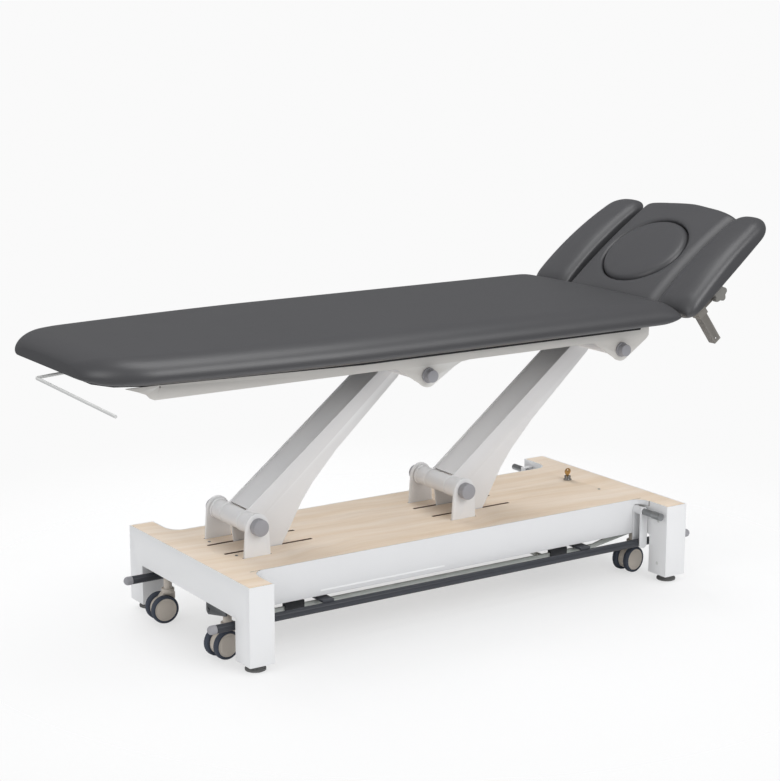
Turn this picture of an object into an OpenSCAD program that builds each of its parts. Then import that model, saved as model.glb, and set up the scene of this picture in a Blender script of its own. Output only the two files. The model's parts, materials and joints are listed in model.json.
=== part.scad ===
// Electric treatment table: a wooden deck on a folded steel base, two parallel
// lifting arms, a long upholstered top and a tilting head section with armrests.
// X runs from the foot end to the head end, Y across, Z up from the floor.
// It is drawn with the castors down, the top at working height and the head up.

/* [Base] */
// Length of the base
base_length = 1400; // [1200:10:1600]
// Width of the base over the legs
base_width = 654; // [600:2:720]
// Height from the underside of the legs to the deck surface
base_height = 204; // [195:1:220]
// Gap under the legs while the castors are down
leg_gap = 20; // [18:0.5:24]
// Size of a leg along the table
leg_x = 70; // [60:1:80]
// Size of a leg across the table
leg_y = 72; // [64:1:80]
// Clear height of the cut-out between the two legs of an end
portal_clear = 109; // [100:1:116]
// Distance from the centre line to a side skirt
skirt_y = 214; // [206:1:226]
// Height of the side skirts
skirt_height = 97; // [88:1:104]
// Bend radius of the skirt ends
skirt_bend = 35; // [24:1:40]
// Thickness of the folded sheet
sheet = 2.5; // [2:0.25:3]
// Thickness of the wooden deck
deck_thickness = 15; // [12:0.5:18]
// Diameter of a levelling foot
foot_dia = 53; // [40:1:60]
// Thickness of the levelling foot disc
foot_disc = 12; // [8:0.5:14]

/* [Lifting arms] */
// Height of the lower pivots above the deck
pivot_above_deck = 78.5; // [74:0.5:90]
// Distance from the table centre to the foot end lower pivot
foot_pivot_x = 551.5; // [530:0.5:560]
// Distance between the two lower pivots
pivot_spacing = 643.6; // [620:0.2:660]
// Length of an arm from pivot to pivot
arm_length = 572.6; // [540:0.2:590]
// Angle of the arms above the horizontal as drawn
arm_angle = 39.17; // [30:0.01:45]
// Half of the arm's width, to the outside of its side plates
arm_half_width = 49; // [44:0.5:56]
// Thickness of the arm side plates
arm_plate = 6; // [5:0.5:8]
// Outer diameter of the lower bearing tube
low_tube_dia = 52; // [46:1:56]
// Diameter of the lower pivot pin
low_pin_dia = 30; // [24:1:32]
// Outer diameter of the upper bearing tube
up_tube_dia = 40; // [36:1:42]
// Diameter of the upper pivot pin
up_pin_dia = 24; // [20:1:26]
// Radius from the lower pivot to the crank pin
crank_radius = 145; // [140:1:148]
// Diameter of the crank pin
crank_pin_dia = 16; // [12:1:18]

/* [Top] */
// Half width of the main cushion
top_half_width = 348; // [320:1:380]
// Half width of the main cushion at the foot end
foot_half_width = 285; // [260:1:310]
// Distance from the table centre to the foot end of the cushion
top_foot_x = 1066; // [1040:1:1100]
// Distance from the table centre to the head end of the cushion
top_head_x = 651; // [645:1:653]
// Thickness of the main cushion
cushion_height = 65; // [56:1:72]
// Crown of the main cushion
cushion_crown = 3; // [2:0.5:8]
// Thickness of the boards under the cushions
board_thickness = 16; // [12:0.5:18]
// Distance from the centre line to the outside of the top frame plates
frame_half_width = 222; // [210:1:235]
// Thickness of the top frame plates
frame_plate = 5; // [4:0.5:6]
// Height of the top frame plates between the pivots
frame_depth = 35; // [32:1:40]

/* [Head section] */
// Angle of the head section above the horizontal as drawn
head_angle = 36.5; // [30:0.1:40]
// Length of the centre head cushion
head_length = 428; // [420:1:440]
// Half width of the centre head cushion
head_half_width = 199; // [194:1:202]
// Outer edge of an armrest from the centre line
armrest_outer = 354; // [345:1:370]
// Length of an armrest
armrest_length = 398; // [390:1:406]
// Thickness of the head cushions
head_cushion_height = 65; // [62:1:70]
// Half length of the face opening
face_half_x = 128; // [110:1:134]
// Half width of the face opening
face_half_y = 143; // [120:1:148]
// Outer size of the square armrest posts
post_size = 25; // [20:1:28]

/* [Castors and rails] */
// Diameter of the castor wheels
wheel_dia = 75; // [70:1:78]
// Width of one castor wheel
wheel_width = 18; // [16:1:20]
// Distance from the table centre to the foot end castor stems
castor_foot_x = 672; // [664:1:674]
// Distance from the table centre to the head end castor stems
castor_head_x = 648; // [646:1:656]
// Distance from the centre line to a castor stem
castor_y = 163; // [158:1:166]
// Trail of the castor wheels
castor_trail = 18; // [16:1:22]
// Diameter of the foot rails
rail_dia = 22; // [20:1:24]
// Distance from the centre line to a foot rail
rail_y = 233; // [231:1:236]
// Height of the foot rails above the floor
rail_z = 102; // [100:1:104]
// Length of a foot rail past its lever at the foot end
rail_foot_over = 152; // [135:1:165]
// Length of a foot rail past its lever at the head end
rail_head_over = 185; // [135:1:195]

/* [Hidden] */
$fn = 48;

// shared clearances and overruns
cut = 1;            // overrun of a cut past the face it opens
pin_fit = 0.05;     // radial clearance of a turning pin
slide_fit = 0.4;    // clearance all round a sliding part
skin_gap = 0.3;     // gap between a soft cover and its neighbour

// heights
deck_top = leg_gap + base_height;
deck_low = deck_top - deck_thickness;
portal_top = leg_gap + portal_clear;
skirt_low = deck_top - skirt_height;
low_pivot_z = deck_top + pivot_above_deck;
up_pivot_z = low_pivot_z + arm_length * sin(arm_angle);
frame_low = up_pivot_z + up_tube_dia / 2 + 7;
frame_top = frame_low + frame_depth;
board_top = frame_top + board_thickness;

// lengths along the table
half_length = base_length / 2;
half_width = base_width / 2;
leg_in_x = half_length - leg_x;
leg_in_y = half_width - leg_y;
low_pivots = [-foot_pivot_x, pivot_spacing - foot_pivot_x];
arm_reach = arm_length * cos(arm_angle);
up_pivots = [for (x = low_pivots) x + arm_reach];

// ears, slots and pins round the lower pivots
ear_inner = 100;
ear_plate = 8;
ear_half_foot = 38;
ear_radius = 33;
ear_depth = 30;     // how far an ear reaches below the deck
slot_left = 62.5;   // slit past the pivot towards the foot end
slot_right = 197.5; // slit past the pivot towards the head end
slot_gap = 2;
ear_slot_play = 3;  // free length of an ear slot at each end
cap_dia = 44;
cap_length = 22;
crank_rest = -75;   // direction from the pivot to the crank pin

// chassis tubes under the deck
tube_w = 40;
tube_h = 30;
tube_wall = 2;
chassis_y = ear_inner + ear_plate;
cross_foot_x = -300;
cross_head_x = 345;

// rail shafts and levers
shaft_x = half_length - leg_x - 17;
shaft_dia = 18;
rail_foot_reach = shaft_x + rail_foot_over;
rail_head_reach = shaft_x + rail_head_over;
foot_shaft_reach = 253;
shaft_reach = 322;
collar_l = 34;
lever_w = 26;
lever_top_w = 25;
lever_room = 0.5;   // between a lever and the deck
lever_sweep = 5;    // room each side for the swing of a lever
shaft_z = deck_low - lever_top_w / 2 - lever_room;
lever_plate = 4;
lever_half = 17;
rail_pin_dia = 10;
cross_piece_x = 418;
cross_piece_w = 34;
cross_piece_h = 7;
cap_ball = 22;

// castors
wheel_r = wheel_dia / 2;
wheel_gap = 22;
castor_angles = [8, -4, 9, 0];   // swivel of each castor as drawn
castor_places = [[-castor_foot_x, -castor_y], [-castor_foot_x, castor_y],
  [castor_head_x, -castor_y], [castor_head_x, castor_y]];
stem_dia = 34;
head_low = 62;
head_top = 88;
swivel_dia = 22;
axle_dia = 8;
beam_low = leg_gap + 100;
beam_h = 22;
beam_w = 30;
beam_wall = 3;
beam_half = castor_y + 26;
pivot_stud = 12;
cam_bar_t = 6;
cam_bar_h = 16;
cam_bar_z = leg_gap + 74;
roller_dia = 8;
roller_inset = 27;
roller_l = 10;
guide_spare = 4;
castor_rise = 16;
cam_travel = 30;
guide_dia = 10;
guide_y = 90;

// head section, in its own frame at the hinge: x along the pad, z away from it
hinge_x = 696;
hinge_z = frame_top - 6;
head_low_x = -10;
head_board_z = 8;
head_board_t = 15;
head_pad_z = head_board_z + head_board_t;
hinge_pin_dia = 10;
hinge_eye_r = 7.5;
hinge_arm_t = 5;
hinge_arm_rise = 4;
hinge_arm_inset = 52;
hinge_arm_y = frame_half_width - hinge_arm_inset;
head_tube = 25;
carrier_x = 150;
carrier_z = head_board_z - head_tube / 2;
carrier_low = head_board_z - head_tube - 0.8;
carrier_high = head_board_z - 1.4;
post_x = 74.5;
post_y = 282;
post_end = -118;
armrest_gap = 4;
armrest_inner = head_half_width + armrest_gap;
face_x = 188.5;

function beam_x(s) = s < 0 ? -castor_foot_x : castor_head_x;

// general pieces

module box_at(x0, x1, y0, y1, z0, z1) {
  translate([min(x0, x1), min(y0, y1), z0])
    cube([abs(x1 - x0), abs(y1 - y0), z1 - z0]);
}

module rod_y(x, z, y0, y1, dia) {
  translate([x, y0, z])
    rotate([-90, 0, 0])
      cylinder(h = y1 - y0, d = dia);
}

module rod_x(y, z, x0, x1, dia) {
  translate([x0, y, z])
    rotate([0, 90, 0])
      cylinder(h = x1 - x0, d = dia);
}

// a flat plate standing in the X-Z plane, from its outline
module plate_y(y0, y1) {
  translate([0, y1, 0])
    rotate([90, 0, 0])
      linear_extrude(height = y1 - y0)
        children();
}

module head_place() {
  translate([hinge_x, 0, hinge_z])
    rotate([0, -head_angle, 0])
      children();
}

module arm_place(x) {
  translate([x, 0, low_pivot_z])
    rotate([0, -arm_angle, 0])
      children();
}

// cushions: sections across the pad, from the middle of the bottom over the
// side to the middle of the top and back; a station holds
// [x, y centre, half width, bottom, top, crown, height of the widest line as a
// share of the thickness, width of the lower edge rounding, width of the rolled side]
side_steps = 7;
crown_steps = 4;

function half_section(w, z0, z1, crown, belly_share, low_w, roll_w) =
  let (belly = z0 + belly_share * (z1 - z0), low = min(low_w, 0.45 * w),
    roll = min(roll_w, 0.8 * w))
  concat(
    [[0, z0]],
    [for (a = [0 : 30 : 60])
      [w - low + low * sin(a), belly - (belly - z0) * cos(a)]],
    [for (i = [0 : side_steps - 1])
      let (a = 90 * i / side_steps)
      [w - roll + roll * cos(a), belly + (z1 - belly) * sin(a)]],
    [for (i = [0 : crown_steps])
      let (k = 1 - i / crown_steps)
      [(w - roll) * k, z1 + crown * (1 - k * k)]]);

function full_section(s) =
  let (h = half_section(s[2], s[3], s[4], s[5], s[6], s[7], s[8]), n = len(h))
  concat(
    [for (p = h) [s[0], s[1] + p[0], p[1]]],
    [for (i = [n - 2 : -1 : 1]) [s[0], s[1] - h[i][0], h[i][1]]]);

module loft(stations) {
  rings = [for (s = stations) full_section(s)];
  m = len(rings[0]);
  n = len(rings);
  points = [for (r = rings) for (p = r) p];
  sides = [for (i = [0 : n - 2]) for (j = [0 : m - 1])
    let (a = i * m + j, b = i * m + (j + 1) % m, c = a + m, d = b + m)
    each [[a, c, b], [b, c, d]]];
  first = [for (j = [1 : m - 2]) [0, j, j + 1]];
  last = [for (j = [1 : m - 2]) [(n - 1) * m, (n - 1) * m + j + 1, (n - 1) * m + j]];
  polyhedron(points = points, faces = concat(first, sides, last), convexity = 4);
}

// rounding towards an end: 0 at the end, 1 where the full section starts
function swell(e, r) = e >= r ? 1 : sqrt(1 - pow(1 - e / r, 2));

// the same, but with a share of the section left at the very end
function rise(e, r, flat) = flat + (1 - flat) * swell(e, r);

// stations closer together near both ends, as shares of the length
long_station_shares = [0, 0.003, 0.009, 0.018, 0.029, 0.042, 0.057, 0.075, 0.097, 0.13, 0.18,
  0.24, 0.31, 0.39, 0.47, 0.55, 0.63, 0.71, 0.79, 0.86, 0.92, 0.96, 0.98, 0.99, 0.996, 1];
station_shares = [0, 0.004, 0.014, 0.03, 0.055, 0.09, 0.13, 0.19, 0.27, 0.36, 0.46,
  0.56, 0.66, 0.75, 0.82, 0.88, 0.92, 0.95, 0.97, 0.985, 0.995, 1];
end_flat = 0.30;     // share of the section that is left at the very end
main_head_flat = 0.2;
arm_end_flat = 0.16;

// main cushion
main_foot_round = 156;
main_foot_dip = 118;
main_head_round = 40;
main_head_dip = 9;
taper_end = 345;
foot_roll = 92;
head_roll = 80;
main_belly_share = 0.28;
main_edge = 17;
main_side_roll = 74;

function main_width(x) =
  let (e = x + top_foot_x, h = top_head_x - x,
    taper = top_half_width - (top_half_width - foot_half_width)
      * pow(max(0, (-taper_end - x) / (top_foot_x - taper_end)), 1.6))
  taper
    - main_foot_dip * (1 - swell(e, main_foot_round))
    - main_head_dip * (1 - swell(h, main_head_round));

module main_cushion() {
  color("#5c5c5e")
    loft([for (k = long_station_shares)
      let (x = -top_foot_x + k * (top_foot_x + top_head_x),
        s = min(rise(x + top_foot_x, foot_roll, end_flat),
          rise(top_head_x - x, head_roll, main_head_flat)),
        mid = board_top + skin_gap + main_belly_share * cushion_height)
      [x, 0, main_width(x),
        mid - (mid - board_top - skin_gap) * s,
        mid + (1 - main_belly_share) * cushion_height * s,
        cushion_crown * s, main_belly_share, main_edge, main_side_roll]]);
}

board_side_inset = 66;
board_end_inset = 60;
board_foot_corner = 90;
board_head_corner = 40;
roll_bore = 8.1;
roll_depth = 78;

module main_board() {
  foot = top_foot_x - board_end_inset;
  head = top_head_x - board_end_inset;
  wide = top_half_width - board_side_inset;
  narrow = foot_half_width - board_side_inset;
  color("#2b2b2d")
    difference() {
      translate([0, 0, frame_top])
        linear_extrude(height = board_thickness)
          polygon([
            [-foot, -(narrow - board_foot_corner)],
            [-foot + board_foot_corner / 3, -(narrow - board_foot_corner / 3)],
            [-foot + board_foot_corner, -narrow],
            [-taper_end, -wide], [head - board_head_corner, -wide],
            [head, -(wide - board_head_corner)], [head, wide - board_head_corner],
            [head - board_head_corner, wide], [-taper_end, wide],
            [-foot + board_foot_corner, narrow],
            [-foot + board_foot_corner / 3, narrow - board_foot_corner / 3],
            [-foot, narrow - board_foot_corner]]);
      roll_leg(cut, -roll_depth, roll_bore);
    }
}

// paper roll rod at the foot end
rod_dia = 8;
rod_edge_drop = 1.5;  // below the middle of the board where it leaves it
rod_start_y = 6;
rod_out = 80;       // from the edge of the board to the cross run
rod_in = 60;        // length inside the board
rod_run = 425;
rod_swell = 0.3;    // a bent wire is a little thicker in its bend
rod_swell_l = 12;
rod_lean = 3.5;     // degrees down towards the bend
rod_droop = 1.9;    // degrees down towards the free end
rod_skew = 0.8;     // degrees past square at the bend

// round bar along the leg of the rod, from one distance outside the board to another
module roll_leg(from, to, dia) {
  translate([-(top_foot_x - board_end_inset), rod_start_y,
      frame_top + board_thickness / 2 - rod_edge_drop])
    rotate([0, -rod_lean, 0])
      translate([-from, 0, 0])
        rotate([0, 90, 0])
          cylinder(h = from - to, d = dia);
}

module roll_rod() {
  color("#d4d4d2")
    union() {
      roll_leg(rod_out, -rod_in, rod_dia);
      translate([-(top_foot_x - board_end_inset) - rod_out * cos(rod_lean), rod_start_y,
          frame_top + board_thickness / 2 - rod_edge_drop - rod_out * sin(rod_lean)])
        rotate([90 + rod_droop, 0, rod_skew]) {
          sphere(d = rod_dia + rod_swell);
          cylinder(h = rod_swell_l, d = rod_dia + rod_swell);
          cylinder(h = rod_run, d = rod_dia);
        }
    }
}

// base

module portal_shell(s) {
  difference() {
    union() {
      box_at(s * leg_in_x, s * half_length, -half_width, half_width, portal_top, deck_low);
      for (t = [-1, 1]) {
        box_at(s * leg_in_x, s * half_length, t * leg_in_y, t * half_width, leg_gap, deck_low);
        box_at(s * leg_in_x, s * (leg_in_x + sheet), t * (skirt_y + skirt_bend + sheet),
          t * half_width, deck_low, deck_top);
        box_at(s * leg_in_x, s * half_length, t * (half_width - sheet), t * half_width,
          deck_low, deck_top);
      }
      box_at(s * (half_length - sheet), s * half_length, -half_width, half_width,
        deck_low, deck_top);
    }
    box_at(s * (leg_in_x + sheet), s * (half_length - sheet),
      -(half_width - sheet), half_width - sheet, stiffener_z + sheet, deck_low + cut);
    box_at(s * (leg_in_x + sheet), s * (half_length - sheet),
      -(leg_in_y - sheet), leg_in_y - sheet, portal_top - cut, stiffener_z);
    for (t = [-1, 1])
      box_at(s * (leg_in_x - cut), s * (leg_in_x + sheet + cut), t * (beam_half - 6),
        t * (beam_half + cam_bar_t + 6), portal_top - cut, cam_z + castor_rise + cam_half + 4);
    for (t = [-1, 1])
      box_at(s * (leg_in_x + sheet), s * (half_length - sheet),
        t * (leg_in_y + sheet), t * (half_width - sheet), leg_gap + foot_nut, deck_low + cut);
    for (t = [-1, 1])
      translate([s * (half_length - leg_x / 2), t * (half_width - leg_y / 2), leg_gap - cut])
        cylinder(h = foot_nut + 2 * cut, d = foot_stud + 2 * slide_fit);
    for (t = [-1, 1])
      translate([beam_x(s), t * guide_y, stiffener_z - cut])
        cylinder(h = sheet + 2 * cut, d = guide_dia + 2 * slide_fit);
  }
}

foot_nut = 8;
stiffener_z = portal_top + 38;
foot_stud = 12;
foot_stud_top = 20;
foot_lift = 1;      // gap under a foot while the castors carry the table

module foot_portal() {
  color("#d6d6d6")
    portal_shell(-1);
}

bearing_y0 = 288;
bearing_y1 = 306;
bearing_drop = 13;
bearing_rise = 11;
bearing_w = 28;

module head_portal() {
  color("#d6d6d6")
    union() {
      portal_shell(1);
      difference() {
        box_at(leg_in_x - bearing_w, leg_in_x, bearing_y0, bearing_y1, shaft_z - bearing_drop,
          shaft_z + bearing_rise);
        rod_y(shaft_x, shaft_z, bearing_y0 - cut, bearing_y1 + cut, shaft_dia);
      }
    }
}

// outline of a skirt for the side towards -Y, bent outwards at both ends
module skirt_outline() {
  bend_x = leg_in_x - skirt_bend - sheet;
  bend_y = -(skirt_y + skirt_bend);
  translate([-bend_x, -skirt_y])
    square([2 * bend_x, sheet]);
  for (s = [-1, 1])
    intersection() {
      translate([s * bend_x, bend_y])
        difference() {
          circle(r = skirt_bend + sheet);
          circle(r = skirt_bend);
        }
      translate([s > 0 ? bend_x : -bend_x - skirt_bend - sheet, bend_y])
        square([skirt_bend + sheet, skirt_bend + sheet]);
    }
}

module skirt_body() {
  difference() {
    translate([0, 0, skirt_low])
      linear_extrude(height = skirt_height)
        skirt_outline();
    for (s = [-1, 1]) {
      rod_y(s * shaft_x, shaft_z, -(skirt_y + skirt_bend + cut), -(skirt_y - 2 * sheet),
        shaft_dia + 4);
      box_at(s * (shaft_x - lever_w / 2 - lever_sweep), s * (leg_in_x + cut),
        -(skirt_y + skirt_bend + sheet + cut), -(skirt_y + cut), skirt_low - cut,
        shaft_z + lever_top_w / 2 + 2);
    }
  }
}

module near_skirt() {
  color("#dadada")
    skirt_body();
}

module far_skirt() {
  color("#dadada")
    mirror([0, 1, 0])
      skirt_body();
}

slot_y = arm_half_width - arm_plate / 2;
slot_w = arm_plate + 2 * slot_gap;
fillet_r = skirt_bend + sheet + skin_gap;

module deck_outline() {
  gap = sheet + skin_gap;
  difference() {
    union() {
      square([2 * (leg_in_x + gap), 2 * (skirt_y - gap)], center = true);
      for (s = [-1, 1]) {
        translate([s > 0 ? leg_in_x + gap : -half_length + gap, -half_width + gap])
          square([leg_x - 2 * gap, base_width - 2 * gap]);
        for (t = [-1, 1])
          difference() {
            translate([s > 0 ? leg_in_x - skirt_bend : -leg_in_x - gap,
              t > 0 ? skirt_y - gap - cut : -skirt_y - skirt_bend - gap + cut])
              square([skirt_bend + gap, skirt_bend + gap]);
            translate([s * (leg_in_x - skirt_bend - sheet), t * (skirt_y + skirt_bend)])
              circle(r = fillet_r);
          }
      }
    }
    for (x = low_pivots, t = [-1, 1]) {
      translate([x - slot_left, t * slot_y - slot_w / 2])
        square([slot_left + slot_right, slot_w]);
      translate([x - ear_half_foot - ear_slot_play,
        t > 0 ? ear_inner - skin_gap : -ear_inner - ear_plate - skin_gap])
        square([2 * (ear_half_foot + ear_slot_play), ear_plate + 2 * skin_gap]);
    }
    translate([key_x, key_y])
      circle(d = key_stem_dia + 2 * skin_gap);
  }
}

module deck() {
  color("#ecd9c4")
    translate([0, 0, deck_low + skin_gap])
      linear_extrude(height = deck_thickness - skin_gap)
        deck_outline();
}

module tube_along_x(x0, x1, y, z0, w, h) {
  difference() {
    box_at(x0, x1, y - w / 2, y + w / 2, z0, z0 + h);
    box_at(x0 - cut, x1 + cut, y - w / 2 + tube_wall, y + w / 2 - tube_wall,
      z0 + tube_wall, z0 + h - tube_wall);
  }
}

module tube_along_y(x, y0, y1, z0, w, h) {
  difference() {
    box_at(x - w / 2, x + w / 2, y0, y1, z0, z0 + h);
    box_at(x - w / 2 + tube_wall, x + w / 2 - tube_wall, y0 - cut, y1 + cut,
      z0 + tube_wall, z0 + h - tube_wall);
  }
}

// brackets that carry the actuator and the guides of the cam bars
actuator_drop = 33;
actuator_z = deck_low - actuator_drop;
actuator_pin_x = cross_foot_x;
anchor_t = 6;
anchor_gap = 24;
anchor_drop = 14;

module chassis() {
  color("#b9b9ba")
    union() {
      for (t = [-1, 1])
        difference() {
          tube_along_x(-leg_in_x, leg_in_x, t * (chassis_y + tube_w / 2),
            deck_low - tube_h, tube_w, tube_h);
          for (s = [-1, 1])
            rod_y(s * shaft_x, shaft_z, -chassis_y - tube_w - cut, chassis_y + tube_w + cut,
              shaft_dia);
        }
      for (x = [cross_foot_x - tube_w, cross_head_x])
        tube_along_y(x, -chassis_y, chassis_y, deck_low - tube_h, tube_w, tube_h);
      for (t = [-1, 1])
        difference() {
          box_at(cross_foot_x - tube_w / 2, cross_foot_x + tube_w / 2,
            t * anchor_gap / 2, t * (anchor_gap / 2 + anchor_t), actuator_z - anchor_drop, deck_low);
          rod_y(actuator_pin_x, actuator_z, -anchor_gap - anchor_t, anchor_gap + anchor_t,
            axle_dia);
        }
    }
}

module pivot_ears() {
  color("#dcdcdc")
    for (x = low_pivots, t = [-1, 1])
      difference() {
        plate_y(t > 0 ? ear_inner : -ear_inner - ear_plate,
          t > 0 ? ear_inner + ear_plate : -ear_inner)
          union() {
            translate([x, low_pivot_z])
              circle(r = ear_radius);
            polygon([[x - ear_half_foot, deck_low - ear_depth],
              [x + ear_half_foot, deck_low - ear_depth],
              [x + ear_half_foot, deck_top + 4], [x + ear_radius, low_pivot_z],
              [x - ear_radius, low_pivot_z], [x - ear_half_foot, deck_top + 4]]);
          }
        rod_y(x, low_pivot_z, -ear_inner - ear_plate - cut, ear_inner + ear_plate + cut,
          low_pin_dia);
      }
}

module lower_pivot_pins() {
  color("#8f9095")
    for (x = low_pivots)
      union() {
        rod_y(x, low_pivot_z, -ear_inner - ear_plate, ear_inner + ear_plate, low_pin_dia);
        for (t = [-1, 1])
          rod_y(x, low_pivot_z, t > 0 ? ear_inner + ear_plate : -ear_inner - ear_plate - cap_length,
            t > 0 ? ear_inner + ear_plate + cap_length : -ear_inner - ear_plate, cap_dia);
      }
}

screw_dia = 8;
screw_head = 1.6;
screw_top_dia = 6;
deck_screw_inset = 36;
deck_screw_y = 73;

module deck_screws() {
  color("#8a8a8c")
    for (s = [-1, 1], t = [-1, 1])
      translate([s * (leg_in_x - deck_screw_inset), t * deck_screw_y, deck_top])
        cylinder(h = screw_head, d1 = screw_dia, d2 = screw_top_dia);
}

leg_screw_places = [33, 156];
leg_screw_dia = 9;
leg_screw_top_dia = 6;

module leg_screws() {
  color("#e6e6e6")
    for (s = [-1, 1], t = [-1, 1], z = leg_screw_places)
      translate([s * leg_in_x, t * (half_width - leg_y / 2), leg_gap + z])
        rotate([0, -s * 90, 0])
          cylinder(h = screw_head, d1 = leg_screw_dia, d2 = leg_screw_top_dia);
}

control_x = 470;
control_l = 130;
control_w = 150;
control_h = 42;

module control_box() {
  color("#3a3b3e")
    difference() {
      box_at(control_x - control_l / 2, control_x + control_l / 2, -control_w / 2,
        control_w / 2, deck_low - control_h, deck_low);
      for (t = [-1, 0, 1])
        translate([control_x - control_l / 2 - cut, t * control_w / 4, deck_low - control_h / 2])
          rotate([0, 90, 0])
            cylinder(h = 8, d = 14);
    }
}

inlet_w = 48;
inlet_h = 27;
inlet_d = 30;

module power_inlet() {
  color("#2c2c2e")
    difference() {
      box_at(control_x + control_l / 2, control_x + control_l / 2 + inlet_d,
        -inlet_w / 2, inlet_w / 2, deck_low - inlet_h - 4, deck_low);
      box_at(control_x + control_l / 2 + 8, control_x + control_l / 2 + inlet_d + cut,
        -inlet_w / 4, inlet_w / 4, deck_low - inlet_h + 3, deck_low - 8);
    }
}

key_x = 583;
key_y = 58;
key_stem_dia = 16;
key_flange = 24;
key_collar = 19;
key_bore = 9;
key_blade = 8;
key_t = 2.2;
key_depth = 20;
key_bow = 21;
key_hole = 5;
key_barrel_top = deck_top + 15;

module key_barrel() {
  color("#a5a5a5")
    difference() {
      union() {
        translate([key_x, key_y, deck_top])
          cylinder(h = 4, d = key_flange);
        translate([key_x, key_y, deck_top])
          cylinder(h = key_barrel_top - deck_top - 2, d = key_collar);
        translate([key_x, key_y, deck_low - key_stem_dia])
          cylinder(h = deck_top - deck_low + key_stem_dia + 2, d = key_stem_dia);
      }
      translate([key_x, key_y, key_barrel_top - key_depth - 2])
        cylinder(h = key_depth + 4, d = key_bore);
    }
}

module key() {
  color("#b08d5a")
    union() {
      translate([key_x - key_blade / 2, key_y - key_t / 2, key_barrel_top - key_depth])
        cube([key_blade, key_t, key_depth + 2]);
      plate_y(key_y - key_t / 2, key_y + key_t / 2)
        difference() {
          translate([key_x, key_barrel_top + key_bow / 2])
            circle(d = key_bow);
          translate([key_x, key_barrel_top + key_bow * 0.74])
            circle(d = key_hole);
        }
    }
}

// rails and levers

module rail_shafts() {
  color("#8f8f8f")
    for (s = [-1, 1])
      if (s < 0) rod_y(s * shaft_x, shaft_z, -foot_shaft_reach, foot_shaft_reach, shaft_dia);
      else union() {
        rod_y(s * shaft_x, shaft_z, -shaft_reach, shaft_reach + collar_l, shaft_dia);
        rod_y(s * shaft_x, shaft_z, -shaft_reach, -shaft_reach + collar_l, shaft_dia + 3);
      }
}

// a lever is a pair of plates on both sides of a rail, joined by its pin
module rail_lever(s) {
  lo = rail_y - lever_half;
  hi = rail_y + lever_half;
  for (t = [-1, 1])
    difference() {
      union() {
        for (y = [lo, hi - lever_plate])
          plate_y(t > 0 ? y : -y - lever_plate, t > 0 ? y + lever_plate : -y)
            union() {
              translate([s * shaft_x, shaft_z])
                circle(d = lever_top_w);
              translate([s * shaft_x, rail_z])
                circle(d = lever_w);
              polygon([[s * shaft_x - lever_w / 2, rail_z],
                [s * shaft_x + lever_w / 2, rail_z],
                [s * shaft_x + lever_top_w / 2, shaft_z],
                [s * shaft_x - lever_top_w / 2, shaft_z]]);
            }
        rod_y(s * shaft_x, rail_z, t > 0 ? lo : -hi, t > 0 ? hi : -lo, rail_pin_dia);
        difference() {
          rod_y(s * shaft_x, shaft_z, t > 0 ? lo : -hi, t > 0 ? hi : -lo, lever_top_w - 2);
          rod_y(s * shaft_x, shaft_z, t > 0 ? lo - cut : -hi - cut, t > 0 ? hi + cut : -lo + cut,
            shaft_dia);
        }
      }
      rod_y(s * shaft_x, shaft_z, t > 0 ? lo - cut : -hi - cut, t > 0 ? hi + cut : -lo + cut,
        shaft_dia + 2 * pin_fit);
    }
}

module foot_rail_lever() {
  color("#cfcfcf")
    rail_lever(-1);
}

module head_rail_lever() {
  color("#cfcfcf")
    rail_lever(1);
}

module foot_rails() {
  color("#3d4048")
    union() {
      for (t = [-1, 1])
        difference() {
          rod_x(t * rail_y, rail_z, -rail_foot_reach + cap_ball, rail_head_reach - cap_ball,
            rail_dia);
          for (s = [-1, 1])
            rod_y(s * shaft_x, rail_z, t > 0 ? rail_y - rail_dia / 2 - cut : -rail_y - rail_dia / 2 - cut,
              t > 0 ? rail_y + rail_dia / 2 + cut : -rail_y + rail_dia / 2 + cut,
              rail_pin_dia + 2 * pin_fit);
        }
    }
}

// flat bars that lie across both rails
module rail_cross_pieces() {
  color("#3d4048")
    for (s = [-1, 1])
      box_at(s * cross_piece_x - cross_piece_w / 2, s * cross_piece_x + cross_piece_w / 2,
        -rail_y, rail_y, rail_z + rail_dia / 2, rail_z + rail_dia / 2 + cross_piece_h);
}

module rail_cap(s) {
  rotate([0, s * 90, 0])
    union() {
      cylinder(h = cap_ball - rail_dia / 2, d = rail_dia + 1);
      translate([0, 0, cap_ball - rail_dia / 2])
        intersection() {
          sphere(d = rail_dia + 1);
          cylinder(h = rail_dia, d = 2 * rail_dia);
        }
    }
}

module rail_caps() {
  color("#a9abb2")
    for (s = [-1, 1], t = [-1, 1])
      translate([s < 0 ? -rail_foot_reach + cap_ball : rail_head_reach - cap_ball,
        t * rail_y, rail_z])
        rail_cap(s);
}

// castor lift: two beams that slide on guides and two bars with sloping slots

module castor_beam(s) {
  x = beam_x(s);
  w = beam_w / 2;
  difference() {
    union() {
      box_at(x - w, x + w, -beam_half, beam_half, beam_low, beam_low + beam_h);
      for (t = [-1, 1]) {
        box_at(x, x - s * (roller_inset + roller_dia), t * (beam_half - beam_wall),
          t * beam_half, beam_low, beam_low + beam_h);
        rod_y(x - s * roller_inset, beam_low + beam_h / 2, t > 0 ? beam_half : -beam_half - roller_l,
          t > 0 ? beam_half + roller_l : -beam_half, roller_dia);
      }
      for (t = [-1, 1])
        translate([x, t * guide_y, beam_low + beam_h])
          cylinder(h = deck_low - beam_low - beam_h - castor_rise - guide_spare, d = guide_dia);
    }
    box_at(x - w + beam_wall, x + w - beam_wall, -beam_half + beam_wall, beam_half - beam_wall,
      beam_low + beam_wall, beam_low + beam_h - beam_wall);
    for (t = [-1, 1])
      translate([x, t * castor_y, beam_low - cut])
        cylinder(h = beam_wall + 2 * cut, d = pivot_stud + 2 * pin_fit);
  }
}

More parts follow.
